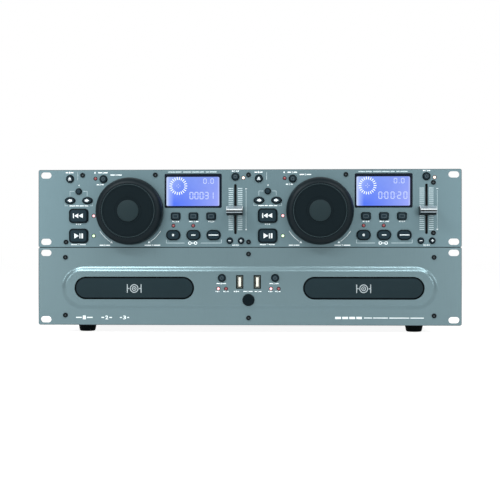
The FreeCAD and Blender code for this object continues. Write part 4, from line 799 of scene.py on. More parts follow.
# ---------------------------------------------------------------- repeats
class Recipe(Nodes):
    """A geometry node tree with named inputs: copies on points, each turned by its point's own angles."""

    prefix = "GeometryNode"

    def __init__(self, name: str) -> None:
        """Builds the tree, from the points to the realized copies with their material.

        Args:
            name: the tree's name.
        """
        super().__init__(bpy.data.node_groups.new(name, "GeometryNodeTree"))
        for way in ("INPUT", "OUTPUT"):
            self.tree.interface.new_socket(name="Geometry", in_out=way, socket_type="NodeSocketGeometry")
        self.entry, last = self.add("NodeGroupInput"), self.add("NodeGroupOutput")
        self.sockets: dict[str, str] = {}
        copied = self.copied()
        turn = self.add("InputNamedAttribute", {"Name": "facing"}, data_type="FLOAT_VECTOR").outputs["Attribute"]
        spread = self.add("InstanceOnPoints", {"Points": self.entry.outputs["Geometry"], "Rotation": turn, **copied})
        real = self.add("RealizeInstances", {"Geometry": spread.outputs["Instances"]})
        finish = self.ask("Finish", "Material")
        paint = self.add("SetMaterial", {"Geometry": real.outputs["Geometry"], "Material": finish})
        self.feed(last.inputs["Geometry"], paint.outputs["Geometry"])

    def ask(self, name: str, kind: str) -> Socket:
        """Adds a named input.

        Args:
            name: the input's name.
            kind: what it holds, such as Float.

        Returns:
            The socket that carries it inside the tree.
        """
        item = self.tree.interface.new_socket(name=name, in_out="INPUT", socket_type="NodeSocket" + kind)
        self.sockets[name] = item.identifier
        return self.entry.outputs[name]

    def copied(self) -> dict[str, Socket]:
        """What is copied, here an object, and at what scale."""
        info = self.add("ObjectInfo", {"Object": self.ask("Piece", "Object")})
        return {"Instance": info.outputs["Geometry"], "Scale": self.ask("Size", "Float")}

    def grow(self, name: str, points: Sequence[Triple], turns: Sequence[Triple], values: dict[str, object],
             finish: Finish) -> Mesh:
        """Runs the tree on points and keeps the result as a plain mesh.

        Args:
            name: the mesh's name.
            points: where the copies go, in millimetres.
            turns: how far each copy is turned about X, Y and Z.
            values: the named inputs.
            finish: the finish of the copies.

        Returns:
            The mesh, in metres.
        """
        base = bpy.data.meshes.new(name)
        base.from_pydata([tuple(c * MM for c in p) for p in points], [], [])
        layer = base.attributes.new("facing", "FLOAT_VECTOR", "POINT")
        layer.data.foreach_set("vector", [c for turn in turns for c in turn])
        carrier = added(name, base)
        modifier = carrier.modifiers.new("grow", "NODES")
        modifier.node_group = self.tree
        for key, value in {**values, "Finish": finish.material()}.items():
            modifier[self.sockets[key]] = value
        mesh = harvested(carrier)
        mesh.name = name
        mesh.materials.clear()
        mesh.materials.append(finish.material())
        return mesh


class TicksRecipe(Recipe):
    """Flat ticks of one size on points."""

    def copied(self) -> dict[str, Socket]:
        """A tick of the asked length, height and depth.

        Returns:
            What the copies take, by the socket's name.
        """
        axes = {"X": "Length", "Z": "Height", "Y": "Depth"}
        size = self.add("ShaderNodeCombineXYZ", {axis: self.ask(key, "Float") for axis, key in axes.items()})
        return {"Instance": self.add("MeshCube", {"Size": size.outputs["Vector"]}).outputs["Mesh"]}


# ---------------------------------------------------------------- plain covers of the frame's own nodes
@dataclass
class Cases:
    """Both sheet cases, the panels' paint, and the boards and drives inside them."""

    green: Triple = (0.016, 0.085, 0.040)

    def dress(self) -> None:
        """Gives each of these nodes its finish."""
        boards = [BoardFinish(name + "_circuit_board", self.green) for name in ("control", "player")]
        finishes = {
            "control_panel": CONTROL_PAINT, "player_panel": PLAYER_PAINT, "control_case": CASE_STEEL,
            "player_chassis": CASE_STEEL, "player_cover": CASE_STEEL, "control_board": boards[0],
            "player_boards": boards[1], "drive_frames": DRIVE_PLASTIC}
        for side in Side:
            finishes |= {side.value + "_disc_tray": TRAY_PLASTIC, side.value + "_tray_pinion": GEAR_WHITE,
                         side.value + "_spindle": DRIVE_PLASTIC}
        for node, finish in finishes.items():
            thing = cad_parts[node]
            thing.data.materials.clear()
            thing.data.materials.append(finish.material())
            LOG.info("%s: dressed in %s", node, finish.name)


# ---------------------------------------------------------------- buttons
class Sign(Enum):
    """What is printed on a button."""

    NONE = "none"
    EJECT = "eject"
    BACK = "back"
    FORWARD = "forward"
    CUE = "cue"
    PLAY = "play"
    DOT = "dot"
    MINUS = "minus"
    PLUS = "plus"
    DASH = "dash"
    BAR = "bar"
    BOX = "box"
    RING = "ring"


def wedge(x: float, half: float, width: float) -> list[Pair]:
    """A triangle's corners, with half its height and how far it points along X."""
    return [(x, half), (x, -half), (x + width, 0.0)]


STROKES = {
    Sign.EJECT: ([(-1.7, -0.3), (1.7, -0.3), (0.0, 1.9)], oblong(0.0, -1.25, 3.4, 0.7)),
    Sign.BACK: (oblong(1.7, 0.0, 1.7, 2.2), wedge(0.7, 2.0, -3.2)),
    Sign.FORWARD: (oblong(-1.7, 0.0, 1.7, 2.2), wedge(-0.7, 2.0, 3.2)),
    Sign.CUE: (oblong(-5.6, 0.0, 1.1, 5.4), wedge(0.0, 2.7, -4.6), wedge(5.2, 2.7, -4.8)),
    Sign.PLAY: (wedge(-4.6, 3.0, 5.2), oblong(1.9, 0.0, 1.0, 5.6), oblong(4.5, 0.0, 1.8, 5.6)),
    Sign.MINUS: (oblong(0.0, 0.0, 3.0, 0.7),),
    Sign.PLUS: (oblong(0.0, 0.0, 3.0, 0.7), oblong(0.0, 0.0, 0.7, 3.0)),
    Sign.DASH: (oblong(0.0, 0.0, 5.0, 1.0),),
    Sign.BAR: (oblong(0.0, 0.0, 11.0, 1.0),),
}
RINGS = {Sign.DOT: (0.9, 0.8, 1), Sign.RING: (1.5, 0.6, 3)}  # radius, width and mark


@dataclass
class PushButton:
    """A glossy button with a rounded edge and a slightly domed face, its ears, stem and printed sign."""

    name: str
    outline: Outline
    x: float
    z: float
    sign: Sign = Sign.NONE
    face: float = 0.0
    back: float = PANEL
    travel: float = 0.8
    proud: float = 2.6
    gap: float = 0.3
    edge: float = 0.9
    rise: float = 0.18
    ear: float = 1.0
    ear_height: float = 4.0
    stem: float = 3.0
    slack: float = 0.2
    switch: float = 4.3
    inlaid: bool = True
    shares: Sequence[float] = (0.9, 0.75, 0.45, 0.12)
    steps: int = 12
    box: Pair = (5.2, 3.6)
    line: float = 0.5

    def cap(self, shape: Shape) -> None:
        """Adds the cap, from behind the panel to the middle of its face.

        Args:
            shape: the mesh that takes the parts.
        """
        front = self.face - self.proud
        layers = [(self.back + self.slack + self.ear, -self.gap), *rounded(front + self.rise, self.edge, self.gap, 4)]
        rings = [self.outline.ring((self.x, y, self.z), grow, self.steps) for y, grow in layers]
        rim = rings[-1]
        for share in self.shares:
            y = FACE_Y + front + self.rise * share ** 2
            rings.append([(self.x + (px - self.x) * share, y, self.z + (pz - self.z) * share) for px, _, pz in rim])
        shape.loft(rings, inlay=(front + self.rise * self.shares[0] ** 2, 2) if self.inlaid else None)

    def holders(self, shape: Shape) -> None:
        """Adds both ears and the stem.

        Args:
            shape: the mesh that takes the parts.
        """
        front, back = self.back + self.slack, self.back + self.slack + self.ear
        shape.block(self.x, self.z, (self.outline.length + 2 * self.ear, self.ear_height), (front, back))
        end = BOARD_FRONT - self.switch - self.slack - self.travel
        shape.block(self.x, self.z, (self.stem, self.stem), (back, end))

    def print_sign(self, shape: Shape) -> None:
        """Adds the button's sign.

        Args:
            shape: the mesh that takes the parts.
        """
        y = self.face - self.proud
        for points in STROKES.get(self.sign, ()):
            shape.slab([(self.x + px, self.z + pz) for px, pz in points], y, 1)
        if self.sign in RINGS:
            radius, width, mark = RINGS[self.sign]
            shape.ring(self.x, self.z, radius, width, y, mark)
        if self.sign is Sign.BOX:
            corners = oblong(self.x, self.z, *self.box)
            shape.line(corners + corners[:1], self.line, y, 3)

    def build(self) -> Object:
        """Builds the button, riding on its own body.

        Returns:
            The button.
        """
        shape = Shape()
        self.cap(shape)
        self.holders(shape)
        self.print_sign(shape)
        return shape.piece(self.name + "_key", (BUTTON_BLACK, SIGN_WHITE, BUTTON_FACE, SIGN_GREY), "button_gloss",
                           self.name + "_push", (self.name + "_button",))


@dataclass
class DeckButtons:
    """The sixteen buttons of one deck."""

    side: Side
    circle: Outline = disc(9.4)
    small: Outline = disc(7.8)
    oval: Outline = Outline(12.6, 8.4, oval=True)
    wide: Outline = Outline(22.6, 16.8, 4.4)
    square: Outline = Outline(11.3, 9.1, 2.2)
    loop: Outline = Outline(16.6, 12.0, 5.6)

    def build(self) -> None:
        """Builds all sixteen; the wide ones travel further."""
        for name, outline, x, z, sign in (
                ("eject", self.circle, -96.5, 78.4, Sign.EJECT), ("jog_mode", self.circle, -58.0, 78.1, Sign.RING),
                ("folder", self.small, -86.5, 64.0, Sign.NONE), ("track_back", self.oval, -96.4, 53.5, Sign.BACK),
                ("track_forward", self.oval, -76.4, 53.5, Sign.FORWARD), ("cue", self.wide, -86.5, 36.1, Sign.CUE),
                ("play", self.wide, -86.5, 13.1, Sign.PLAY), ("time", self.square, 25.0, 35.4, Sign.BOX),
                ("repeat", self.square, 45.3, 35.4, Sign.BOX), ("program", self.square, 65.6, 35.4, Sign.BOX),
                ("loop_in", self.loop, 22.3, 14.0, Sign.DOT), ("loop_out", self.loop, 45.4, 14.0, Sign.DASH),
                ("reloop", self.loop, 68.4, 14.0, Sign.BAR), ("pitch_range", self.circle, FADER_X, 80.5, Sign.RING),
                ("bend_down", self.small, 86.9, 7.5, Sign.MINUS), ("bend_up", self.small, 99.8, 7.5, Sign.PLUS)):
            PushButton(self.side.value + "_" + name, outline, self.side.deck_x + x, CONTROL_Z + z, sign,
                       travel=1.0 if outline is self.wide else 0.8).build()


@dataclass
class PlayerButtons:
    """The power button and both source buttons in the player's raised field."""

    face: float = -RAISE
    back: float = PANEL - RAISE
    power: Outline = disc(14.0)
    power_z: float = PLAYER_Z + 28.9
    source: Outline = disc(9.4)
    source_at: Pair = (30.3, PLAYER_Z + 54.0)

    def build(self) -> None:
        """Builds all three."""
        PushButton("power", self.power, 0.0, self.power_z, Sign.NONE, self.face, self.back, travel=2.5, edge=1.3,
                   inlaid=False).build()
        x, z = self.source_at
        for side in Side:
            PushButton(side.value + "_source", self.source, side.sign * x, z, Sign.RING, self.face, self.back).build()


# ---------------------------------------------------------------- jog wheels and faders
@dataclass
class JogWheel:
    """A jog wheel: the bulging rim, the touch plate with fine rings, and the grey cap."""

    side: Side
    radius: float = 38.3
    edge: float = 31.7
    plate: float = 30.6
    cap: float = 12.1
    front: float = -20.0
    plate_front: float = -19.0
    plate_back: float = -17.8
    rim_top: float = -18.7
    skirt_top: float = -6.7
    gap: float = -1.2
    wall: float = 2.4
    hub: float = 9.0
    shaft: float = 3.0
    bulge: float = 1.9
    rings: Sequence[float] = (29.0, 27.6, 15.2)
    segments: int = 128

    def slope(self, steps: int = 12) -> list[Pair]:
        """The rim's bulging side, from its top edge to its skirt.

        Args:
            steps: how many straight parts it has.

        Returns:
            Pairs of radius and depth.
        """
        start, end = Vector((self.edge, self.rim_top)), Vector((self.radius, self.skirt_top))
        middle = (start + end) / 2 + Vector((self.bulge, -self.bulge)) * 2
        points = []
        for t in (k / steps for k in range(steps + 1)):
            p = start * (1 - t) ** 2 + middle * 2 * t * (1 - t) + end * t * t
            points.append((min(p.x, self.radius), p.y))
        return points

    def rim(self) -> list[Pair]:
        """The hollow rim with its hub and shaft.

        Returns:
            Pairs of radius and depth.
        """
        low, inner = self.plate_back, self.plate + 0.2
        return [
            (0.0, low), (inner, low), (inner, self.rim_top), *self.slope(), (self.radius, self.gap - 0.5),
            (self.radius - 0.5, self.gap), (self.radius - self.wall, self.gap),
            (self.radius - self.wall, self.skirt_top), (self.edge - self.wall, low + self.wall),
            (self.hub, low + self.wall), (self.hub, -1.4), (self.shaft, -1.4), (self.shaft, 10.0), (0.0, 10.0)]

    def face(self) -> list[Pair]:
        """The touch plate, with three fine rings pressed into it.

        Returns:
            Pairs of radius and depth.
        """
        front = self.plate_front
        profile = [(0.0, self.plate_back), (self.plate, self.plate_back), (self.plate, front + 0.35)]
        profile.append((self.plate - 0.35, front))
        for ring in self.rings:
            profile += [(ring + 0.35, front), (ring + 0.1, front + 0.22), (ring - 0.1, front + 0.22),
                        (ring - 0.35, front)]
        return [*profile, (0.0, front)]

    def button(self) -> list[Pair]:
        """The cap."""
        return [(0.0, self.plate_front), (self.cap, self.plate_front), (self.cap, self.front + 0.4),
                (self.cap - 0.12, self.front + 0.12), (self.cap - 0.4, self.front), (0.0, self.front)]

    def build(self) -> Object:
        """Builds the wheel, riding on its own body.

        Returns:
            The wheel.
        """
        shape, x, z = Shape(), self.side.deck_x + JOG_AT[0], CONTROL_Z + JOG_AT[1]
        shape.lathe(self.rim(), (x, 0.0, z), self.segments)
        shape.lathe(self.face(), (x, 0.0, z), self.segments, 1)
        # The pale ring near the plate's edge is a painted highlight of its lit edge.
        shape.ring(x, z, self.plate - 0.7, 0.4, self.plate_front, 3)
        shape.lathe(self.button(), (x, 0.0, z), self.segments, 2)
        name = self.side.value + "_jog"
        return shape.piece(name + "_wheel_turned", (WHEEL_RIM, WHEEL_PLATE, WHEEL_CAP, WHEEL_EDGE_HIGHLIGHT), "wheel_plastic",
                           name, (name + "_wheel",), 28.0)


@dataclass
class PitchFader:
    """A pitch fader's knob: a long upper slope, a pale pointer line, a groove and a lower strip; the dark lower strip
    is painted shade and the pale ends a painted highlight.
    """

    side: Side
    z: float = CONTROL_Z + 41.2
    half: float = 9.1
    back: float = -3.0
    shoulder: float = -16.5
    front: float = -24.0
    reach: float = 5.2
    lever: Pair = (1.6, 6.0)
    lever_depths: Pair = (-11.0, 10.0)

    def section(self) -> list[Pair]:
        """The knob's outline from the side.

        Returns:
            Pairs of height from its middle and depth.
        """
        reach, shoulder, front = self.reach, self.shoulder, self.front
        return [
            (reach, self.back), (reach, shoulder), (reach - 0.25, shoulder - 0.7), (1.7, front + 0.4), (1.5, front),
            (0.4, front), (0.2, front + 0.3), (0.0, front + 2.6), (-1.15, front + 2.6), (-1.3, front + 1.0),
            (-1.5, front + 0.7), (-2.6, front + 0.9), (-2.9, front + 1.3), (-reach + 0.25, shoulder - 0.7),
            (-reach, shoulder), (-reach, self.back)]

    def mark(self, dx: float, y: float, dz: float) -> int:
        """Tells which finish a face of the knob has.

        Args:
            dx: the face's middle along X, from the knob's.
            y: its depth.
            dz: its height above the knob's middle.

        Returns:
            The finish's mark.
        """
        # Faces below the middle take the dark painted shade, except the grey ridge in the groove.
        if dz < -0.1:
            return 3 if -2.75 < dz < -1.4 and y < self.front + 1.2 else 4
        # The front strip is the printed pointer line; the ends take it as a painted highlight.
        return int(y < self.front + 0.35 or abs(dx) > self.half - 0.6)

    def build(self) -> Object:
        """Builds the knob and its lever, riding on their own body.

        Returns:
            The knob with its lever.
        """
        x, z = self.side.deck_x + FADER_X, self.z
        shape, rings = Shape(), []
        ends = ((0.0, 0.5), (0.15, 0.15), (0.5, 0.0))
        for dx, inset in [(-self.half + d, i) for d, i in ends] + [(self.half - d, i) for d, i in ends[::-1]]:
            share = 1 - inset / self.reach
            rings.append([(x + dx, FACE_Y + y + (inset if y < self.shoulder else 0.0), z + dz * share)
                          for dz, y in self.section()])
        for face in shape.loft(rings):
            middle = face.calc_center_median()
            face.material_index = self.mark(middle.x - x, middle.y - FACE_Y, middle.z - z)
        shape.block(x, z, self.lever, self.lever_depths, 2)
        name = self.side.value + "_fader"
        return shape.piece(name + "_knob", (KNOB_SILVER, KNOB_LINE_AND_END_HIGHLIGHT, PLATED_STEEL, KNOB_SILVER, KNOB_UNDERSIDE_SHADE),
                           "fader_silver", name, (self.side.value + "_pitch_fader",), 25.0)


# ---------------------------------------------------------------- displays
@dataclass
class DisplayModule:
    """A display: the black frame, the glowing screen, the dial of ticks and the digits."""

    side: Side
    at: Pair = (45.0, CONTROL_Z + 64.5)
    outer: Outline = Outline(65.2, 38.8, 1.45)
    flange: Outline = Outline(68.3, 40.9, 1.6)
    window: Outline = Outline(60.5, 33.2, 1.5)
    shift: Pair = (-0.4, -0.6)
    sink: float = 0.3
    screen: float = 0.85
    pitch_down: float = 4.9
    pitch_digit: Pair = (3.1, 5.2)
    time_down: float = 21.4
    time_digit: Pair = (3.5, 7.4)
    dial_down: float = 10.4
    dial_ticks: int = 22
    tick: Pair = (0.95, 0.06)

    @property
    def middle(self) -> Pair:
        """The screen's middle."""
        return self.side.deck_x + self.at[0] + self.shift[0], self.at[1] + self.shift[1]

    @property
    def dial(self) -> Triple:
        """The dial: how far right its middle is, and its inner and outer radii."""
        return (13.6, 7.0, 10.3) if self.side is Side.LEFT else (12.5, 7.0, 10.2)

    def corner(self, right: float, down: float) -> Pair:
        """A place on the screen, counted from its upper left corner."""
        x, z = self.middle
        return x - self.window.length / 2 + right, z + self.window.height / 2 - down

    def stroke(self, shape: Shape, right: float, down: float, length: float, height: float) -> None:
        """Adds one lit bar, with its middle counted from the screen's upper left corner."""
        shape.bar(*self.corner(right, down), length, height, self.screen - 0.05, 2)

    def digit(self, shape: Shape, value: str, right: float, down: float, wide: float, high: float) -> None:
        """Adds one digit of short strokes.

        Args:
            shape: the mesh that takes the parts.
            value: the digit, from 0 to 3.
            right: its middle, counted from the screen's left edge.
            down: its middle, counted from the screen's upper edge.
            wide: its width.
            high: its height.
        """
        a, b, thick = wide / 2, high / 2, wide * 0.28
        strokes = {"a": (0, -b, 1), "g": (0, 0, 1), "d": (0, b, 1), "f": (-a, -b / 2, 0), "b": (a, -b / 2, 0),
                   "e": (-a, b / 2, 0), "c": (a, b / 2, 0)}
        for key in {"0": "abcdef", "1": "bc", "2": "abged", "3": "abgcd"}[value]:
            dx, dy, flat = strokes[key]
            length = (wide if flat else high / 2) - thick * 0.5
            self.stroke(shape, right + dx, down + dy, *((length, thick) if flat else (thick, length)))

    def digits(self, shape: Shape) -> None:
        """Adds the pitch and the time, the small marks between them, and the dial's sign.

        Args:
            shape: the mesh that takes the parts.
        """
        for right in (44.1, 52.3):
            self.digit(shape, "0", right, self.pitch_down, *self.pitch_digit)
        self.stroke(shape, 48.3, 7.4, 0.8, 0.8)
        time, middles = ("00031", (28.6, 34.4, 40.2, 46.0, 51.8)) if self.side is Side.LEFT else (
            "00020", (27.0, 33.8, 40.8, 48.3, 55.3))
        for value, right in zip(time, middles):
            self.digit(shape, value, right, self.time_down, *self.time_digit)
        for k in (0, 2):
            for down in (19.8, 23.1):
                self.stroke(shape, (middles[k] + middles[k + 1]) / 2 + 0.2, down, 0.7, 0.7)
        for way in (-1.7, 1.7):
            self.stroke(shape, self.dial[0] + way, self.dial_down, 1.5, 0.6)
            self.stroke(shape, self.dial[0], self.dial_down + way, 0.6, 1.5)

    def ring(self, recipe: TicksRecipe) -> Mesh:
        """The dial's ring of ticks.

        Args:
            recipe: the tree that makes the ticks.

        Returns:
            Its mesh.
        """
        right, inner, outer = self.dial
        x, z = self.corner(right, self.dial_down)
        r, y = (inner + outer) / 2, FACE_Y + self.screen - self.tick[1] / 2
        angles = [math.tau * k / self.dial_ticks for k in range(self.dial_ticks)]
        places = [(x + r * math.cos(t), y, z + r * math.sin(t)) for t in angles]
        values = {"Length": (outer - inner) * MM, "Height": self.tick[0] * MM, "Depth": self.tick[1] * MM}
        turns = [(0.0, -t, 0.0) for t in angles]
        return recipe.grow(self.side.value + "_dial_ticks", places, turns, values, DIAL_TICK)

    def mesh(self, recipe: TicksRecipe) -> Mesh:
        """Builds one display, with four marks: frame, screen, strokes and ticks.

        Args:
            recipe: the tree that makes the ticks.

        Returns:
            Its mesh.
        """
        shape, outer = Shape(), (self.side.deck_x + self.at[0], self.at[1])
        shape.frame((self.outer, self.window), outer, (
            (PANEL, 0.0, 0), (self.sink + 0.35, 0.0, 0), (self.sink + 0.1, -0.1, 0), (self.sink, -0.35, 0),
            (self.sink, 0.25, 1), (self.sink + 0.25, 0.0, 1), (PANEL, 0.0, 1)), shift=self.shift)
        shape.frame((self.flange, self.window), outer, (
            (PANEL + 1.2, 0.0, 0), (PANEL, 0.0, 0), (PANEL, 0.0, 1), (PANEL + 1.2, 0.0, 1)), shift=self.shift)
        shape.prism(self.window, *self.middle, ((BOARD_FRONT, -0.05), (self.screen + 0.3, -0.05)))
        shape.prism(self.window, *self.middle, ((self.screen + 0.3, -0.04), (self.screen, -0.04)), 1)
        self.digits(shape)
        return merged(self.side.value + "_display", shape.mesh("display"), self.ring(recipe))

    @classmethod
    def both(cls, recipe: TicksRecipe) -> Object:
        """Builds both displays as one piece, with a map over each screen.

        Args:
            recipe: the tree that makes the dials' ticks.

        Returns:
            The piece.
        """
        shown = [cls(side) for side in Side]
        mesh = merged("deck_displays", *(display.mesh(recipe) for display in shown))
        layer = mesh.uv_layers.new(name="screen")
        for loop in mesh.loops:
            spot = mesh.vertices[loop.vertex_index].co / MM
            display = shown[0 if spot.x < 0 else 1]
            (x, z), size = display.middle, display.window
            layer.data[loop.index].uv = ((spot.x - x) / size.length + 0.5, (spot.z - z) / size.height + 0.5)
        return place("deck_displays", mesh, (FRAME_BLACK, SCREEN, SEGMENT, DIAL_TICK) * 2, "display_frame", CASES,
                     ("display_modules",))


# ---------------------------------------------------------------- lamps and screws
@dataclass
class Lamps:
    """Every small lamp, each lit or dark in its own colour."""

    radius: float = 1.5
    proud: float = 0.9
    dome: float = 0.8
    flange: float = 1.9
    # hole: the radius and width of the painted shade ring round each lamp's hole
    hole: Pair = (1.95, 0.7)
    deck: Sequence[tuple[float, float, int]] = (
        (-67.2, 78.6, 0), (-69.2, 36.0, 1), (-69.2, 13.1, 2), (22.4, 24.7, 0), (45.1, 24.7, 0), (102.4, 79.2, 3))
    sources: Sequence[tuple[float, int]] = ((-34.3, 1), (-25.6, 0), (25.6, 1), (34.3, 0))
    source_z: float = PLAYER_Z + 41.7

    def lens(self, shape: Shape, x: float, z: float, face: float, mark: int) -> None:
        """Adds one domed lens with its flange and body behind the panel.

        Args:
            shape: the mesh that takes the parts.
            x: its middle along X.
            z: its middle along Z.
            face: the panel's face, from the panels' front.
            mark: its finish.
        """
        tip, back = face - self.proud, face + PANEL + 0.2
        profile = [(self.radius * math.sin(t), tip + self.dome * (1 - math.cos(t))) for t in quarter(6)]
        profile += [(self.radius, back), (self.flange, back), (self.flange, BOARD_FRONT), (0.0, BOARD_FRONT)]
        shape.lathe(profile, (x, 0.0, z), 24, mark)

    def build(self) -> Object:
        """Builds every lamp as one piece.

        Returns:
            The lamps.
        """
        shape = Shape()
        for side in Side:
            for x, z, mark in self.deck:
                self.lens(shape, side.deck_x + x, CONTROL_Z + z, 0.0, mark)
        for x, mark in self.sources:
            self.lens(shape, x, self.source_z, -RAISE, mark)
        return shape.piece("signal_lamps", (LAMP_DARK, LAMP_RED, LAMP_GREEN, LAMP_AMBER), "lamp", CASES,
                           ("led_lenses",))


@dataclass
class Screws:
    """Every black socket head screw in both panels and in the player's sides."""

    head: float = 2.75
    height: float = 1.7
    socket: float = 1.27
    depth: float = 1.1
    shank: float = 1.25
    length: float = 8.0
    control: Sequence[Pair] = ((-190.3, 82.6), (-106.6, 82.8), (0.0, 82.6), (110.6, 82.8), (0.0, 6.1), (-209.4, 6.1),
                               (209.4, 73.5), (209.4, 16.3))
    player: Sequence[Pair] = ((-210.1, 77.4), (210.1, 77.4), (-210.1, 11.2), (210.1, 11.2), (0.0, 81.2), (0.0, 8.4))
    cover_depths: Sequence[float] = (30.0, 130.0, 230.0)
    cover: Pair = (217.5, 20.2)

    @staticmethod
    def ring(radius: float, y: float, corners: int = 0, sides: int = 24) -> list[Triple]:
        """A ring of points round a screw's axis.

        Args:
            radius: its radius.
            y: its place along the axis.
            corners: how many flats it is drawn in to, if any.
            sides: how many points it has.

        Returns:
            The points.
        """
        step, made = math.tau / (corners or 1), []
        for t in (math.tau * k / sides for k in range(sides)):
            r = radius * math.cos(step / 2) / math.cos((t % step) - step / 2) if corners else radius
            made.append((r * math.cos(t), y, r * math.sin(t)))
        return made

    def template(self) -> Object:
        """Makes one loose screw whose head faces -Y.

        Returns:
            The screw, for copying.
        """
        top, shape = -self.height, Shape()
        shape.loft([self.ring(*row) for row in (
            (self.shank, self.length), (self.shank, 0.0), (self.head, 0.0), (self.head, top + 0.5),
            (self.head - 0.18, top + 0.14), (self.head - 0.55, top), (self.socket * 1.16, top),
            (self.socket, top + 0.15, 6), (self.socket, top + self.depth, 6))])
        return added("screw", shape.mesh("screw", 30.0))

    def build(self, recipe: Recipe) -> Object:
        """Builds every screw as one piece.

        Args:
            recipe: the tree that spreads copies of one piece.

        Returns:
            The piece.
        """
        rows = ((CONTROL_Z, self.control), (PLAYER_Z, self.player))
        points = [(x, FACE_Y, low + z) for low, row in rows for x, z in row]
        turns = [(0.0, math.radians(17 * k), 0.0) for k in range(len(points))]
        for side in Side:
            points += [(side.sign * self.cover[0], FACE_Y + y, self.cover[1]) for y in self.cover_depths]
            turns += [(0.0, 0.0, math.radians(90 * side.sign))] * len(self.cover_depths)
        loose = self.template()
        heads = recipe.grow("case_screws", points, turns, {"Piece": loose, "Size": 1.0}, SCREW_BLACK)
        bpy.data.objects.remove(loose)
        # Faces with more than four corners, the socket's floor and the shank's end, take the lighter grey: a painted
        # glint in the socket.
        for face in heads.polygons:
            face.material_index = int(len(face.vertices) > 4)
        return place("case_screws", heads, (SCREW_BLACK, SCREW_SOCKET_GLINT), "black_screw", CASES, ("panel_screws",))


# ---------------------------------------------------------------- tray doors
@dataclass
class TrayDoor:
    """A tray's stadium-shaped door with its rounded edge and a plain disc mark; the rounded edge and sides are painted
    dark as shade in the gap round the door.
    """

    side: Side
    outline: Outline = Outline(137.3, 25.9, 12.95)
    front: float = -RAISE + 0.3
    thick: float = 4.0
    gap: float = 1.0
    edge: float = 1.0
    mark_z: float = FIELD_Z - 0.6
    rings: Sequence[Pair] = ((4.4, 1.0), (2.2, 0.9), (0.5, 0.6))
    dash: Triple = (6.5, 1.8, 1.0)
    upright: Triple = (7.9, 4.6, 1.0)

    def build(self) -> Object:
        """Builds the door, riding on its tray's body.

        Returns:
            The door.
        """
        shape, x, z, y = Shape(), self.side.drive_x, self.mark_z, self.front
        layers = [(y + self.thick, -self.gap), *rounded(y, self.edge, self.gap, 5)]
        # Everything behind the flat front, the rounded edge included, takes the dark painted shade of the gap.
        shape.prism(self.outline, x, FIELD_Z, layers, 2, 16, (y, 0))
        for radius, width in self.rings:
            shape.ring(x, z, radius, width, y, 1)
        (dash, length, height), (upright, half, width) = self.dash, self.upright
        for way in (-1, 1):
            shape.bar(x + way * dash, z, length, height, y, 1)
            shape.line([(x + way * upright, z + half), (x + way * upright, z - half)], width, y, 1)
        name = self.side.value + "_tray"
        return shape.piece(name + "_door_face", (DOOR_PLASTIC, DOOR_MARK, DOOR_EDGE_SHADE), "door_plastic", name,
                           (name + "_door",))


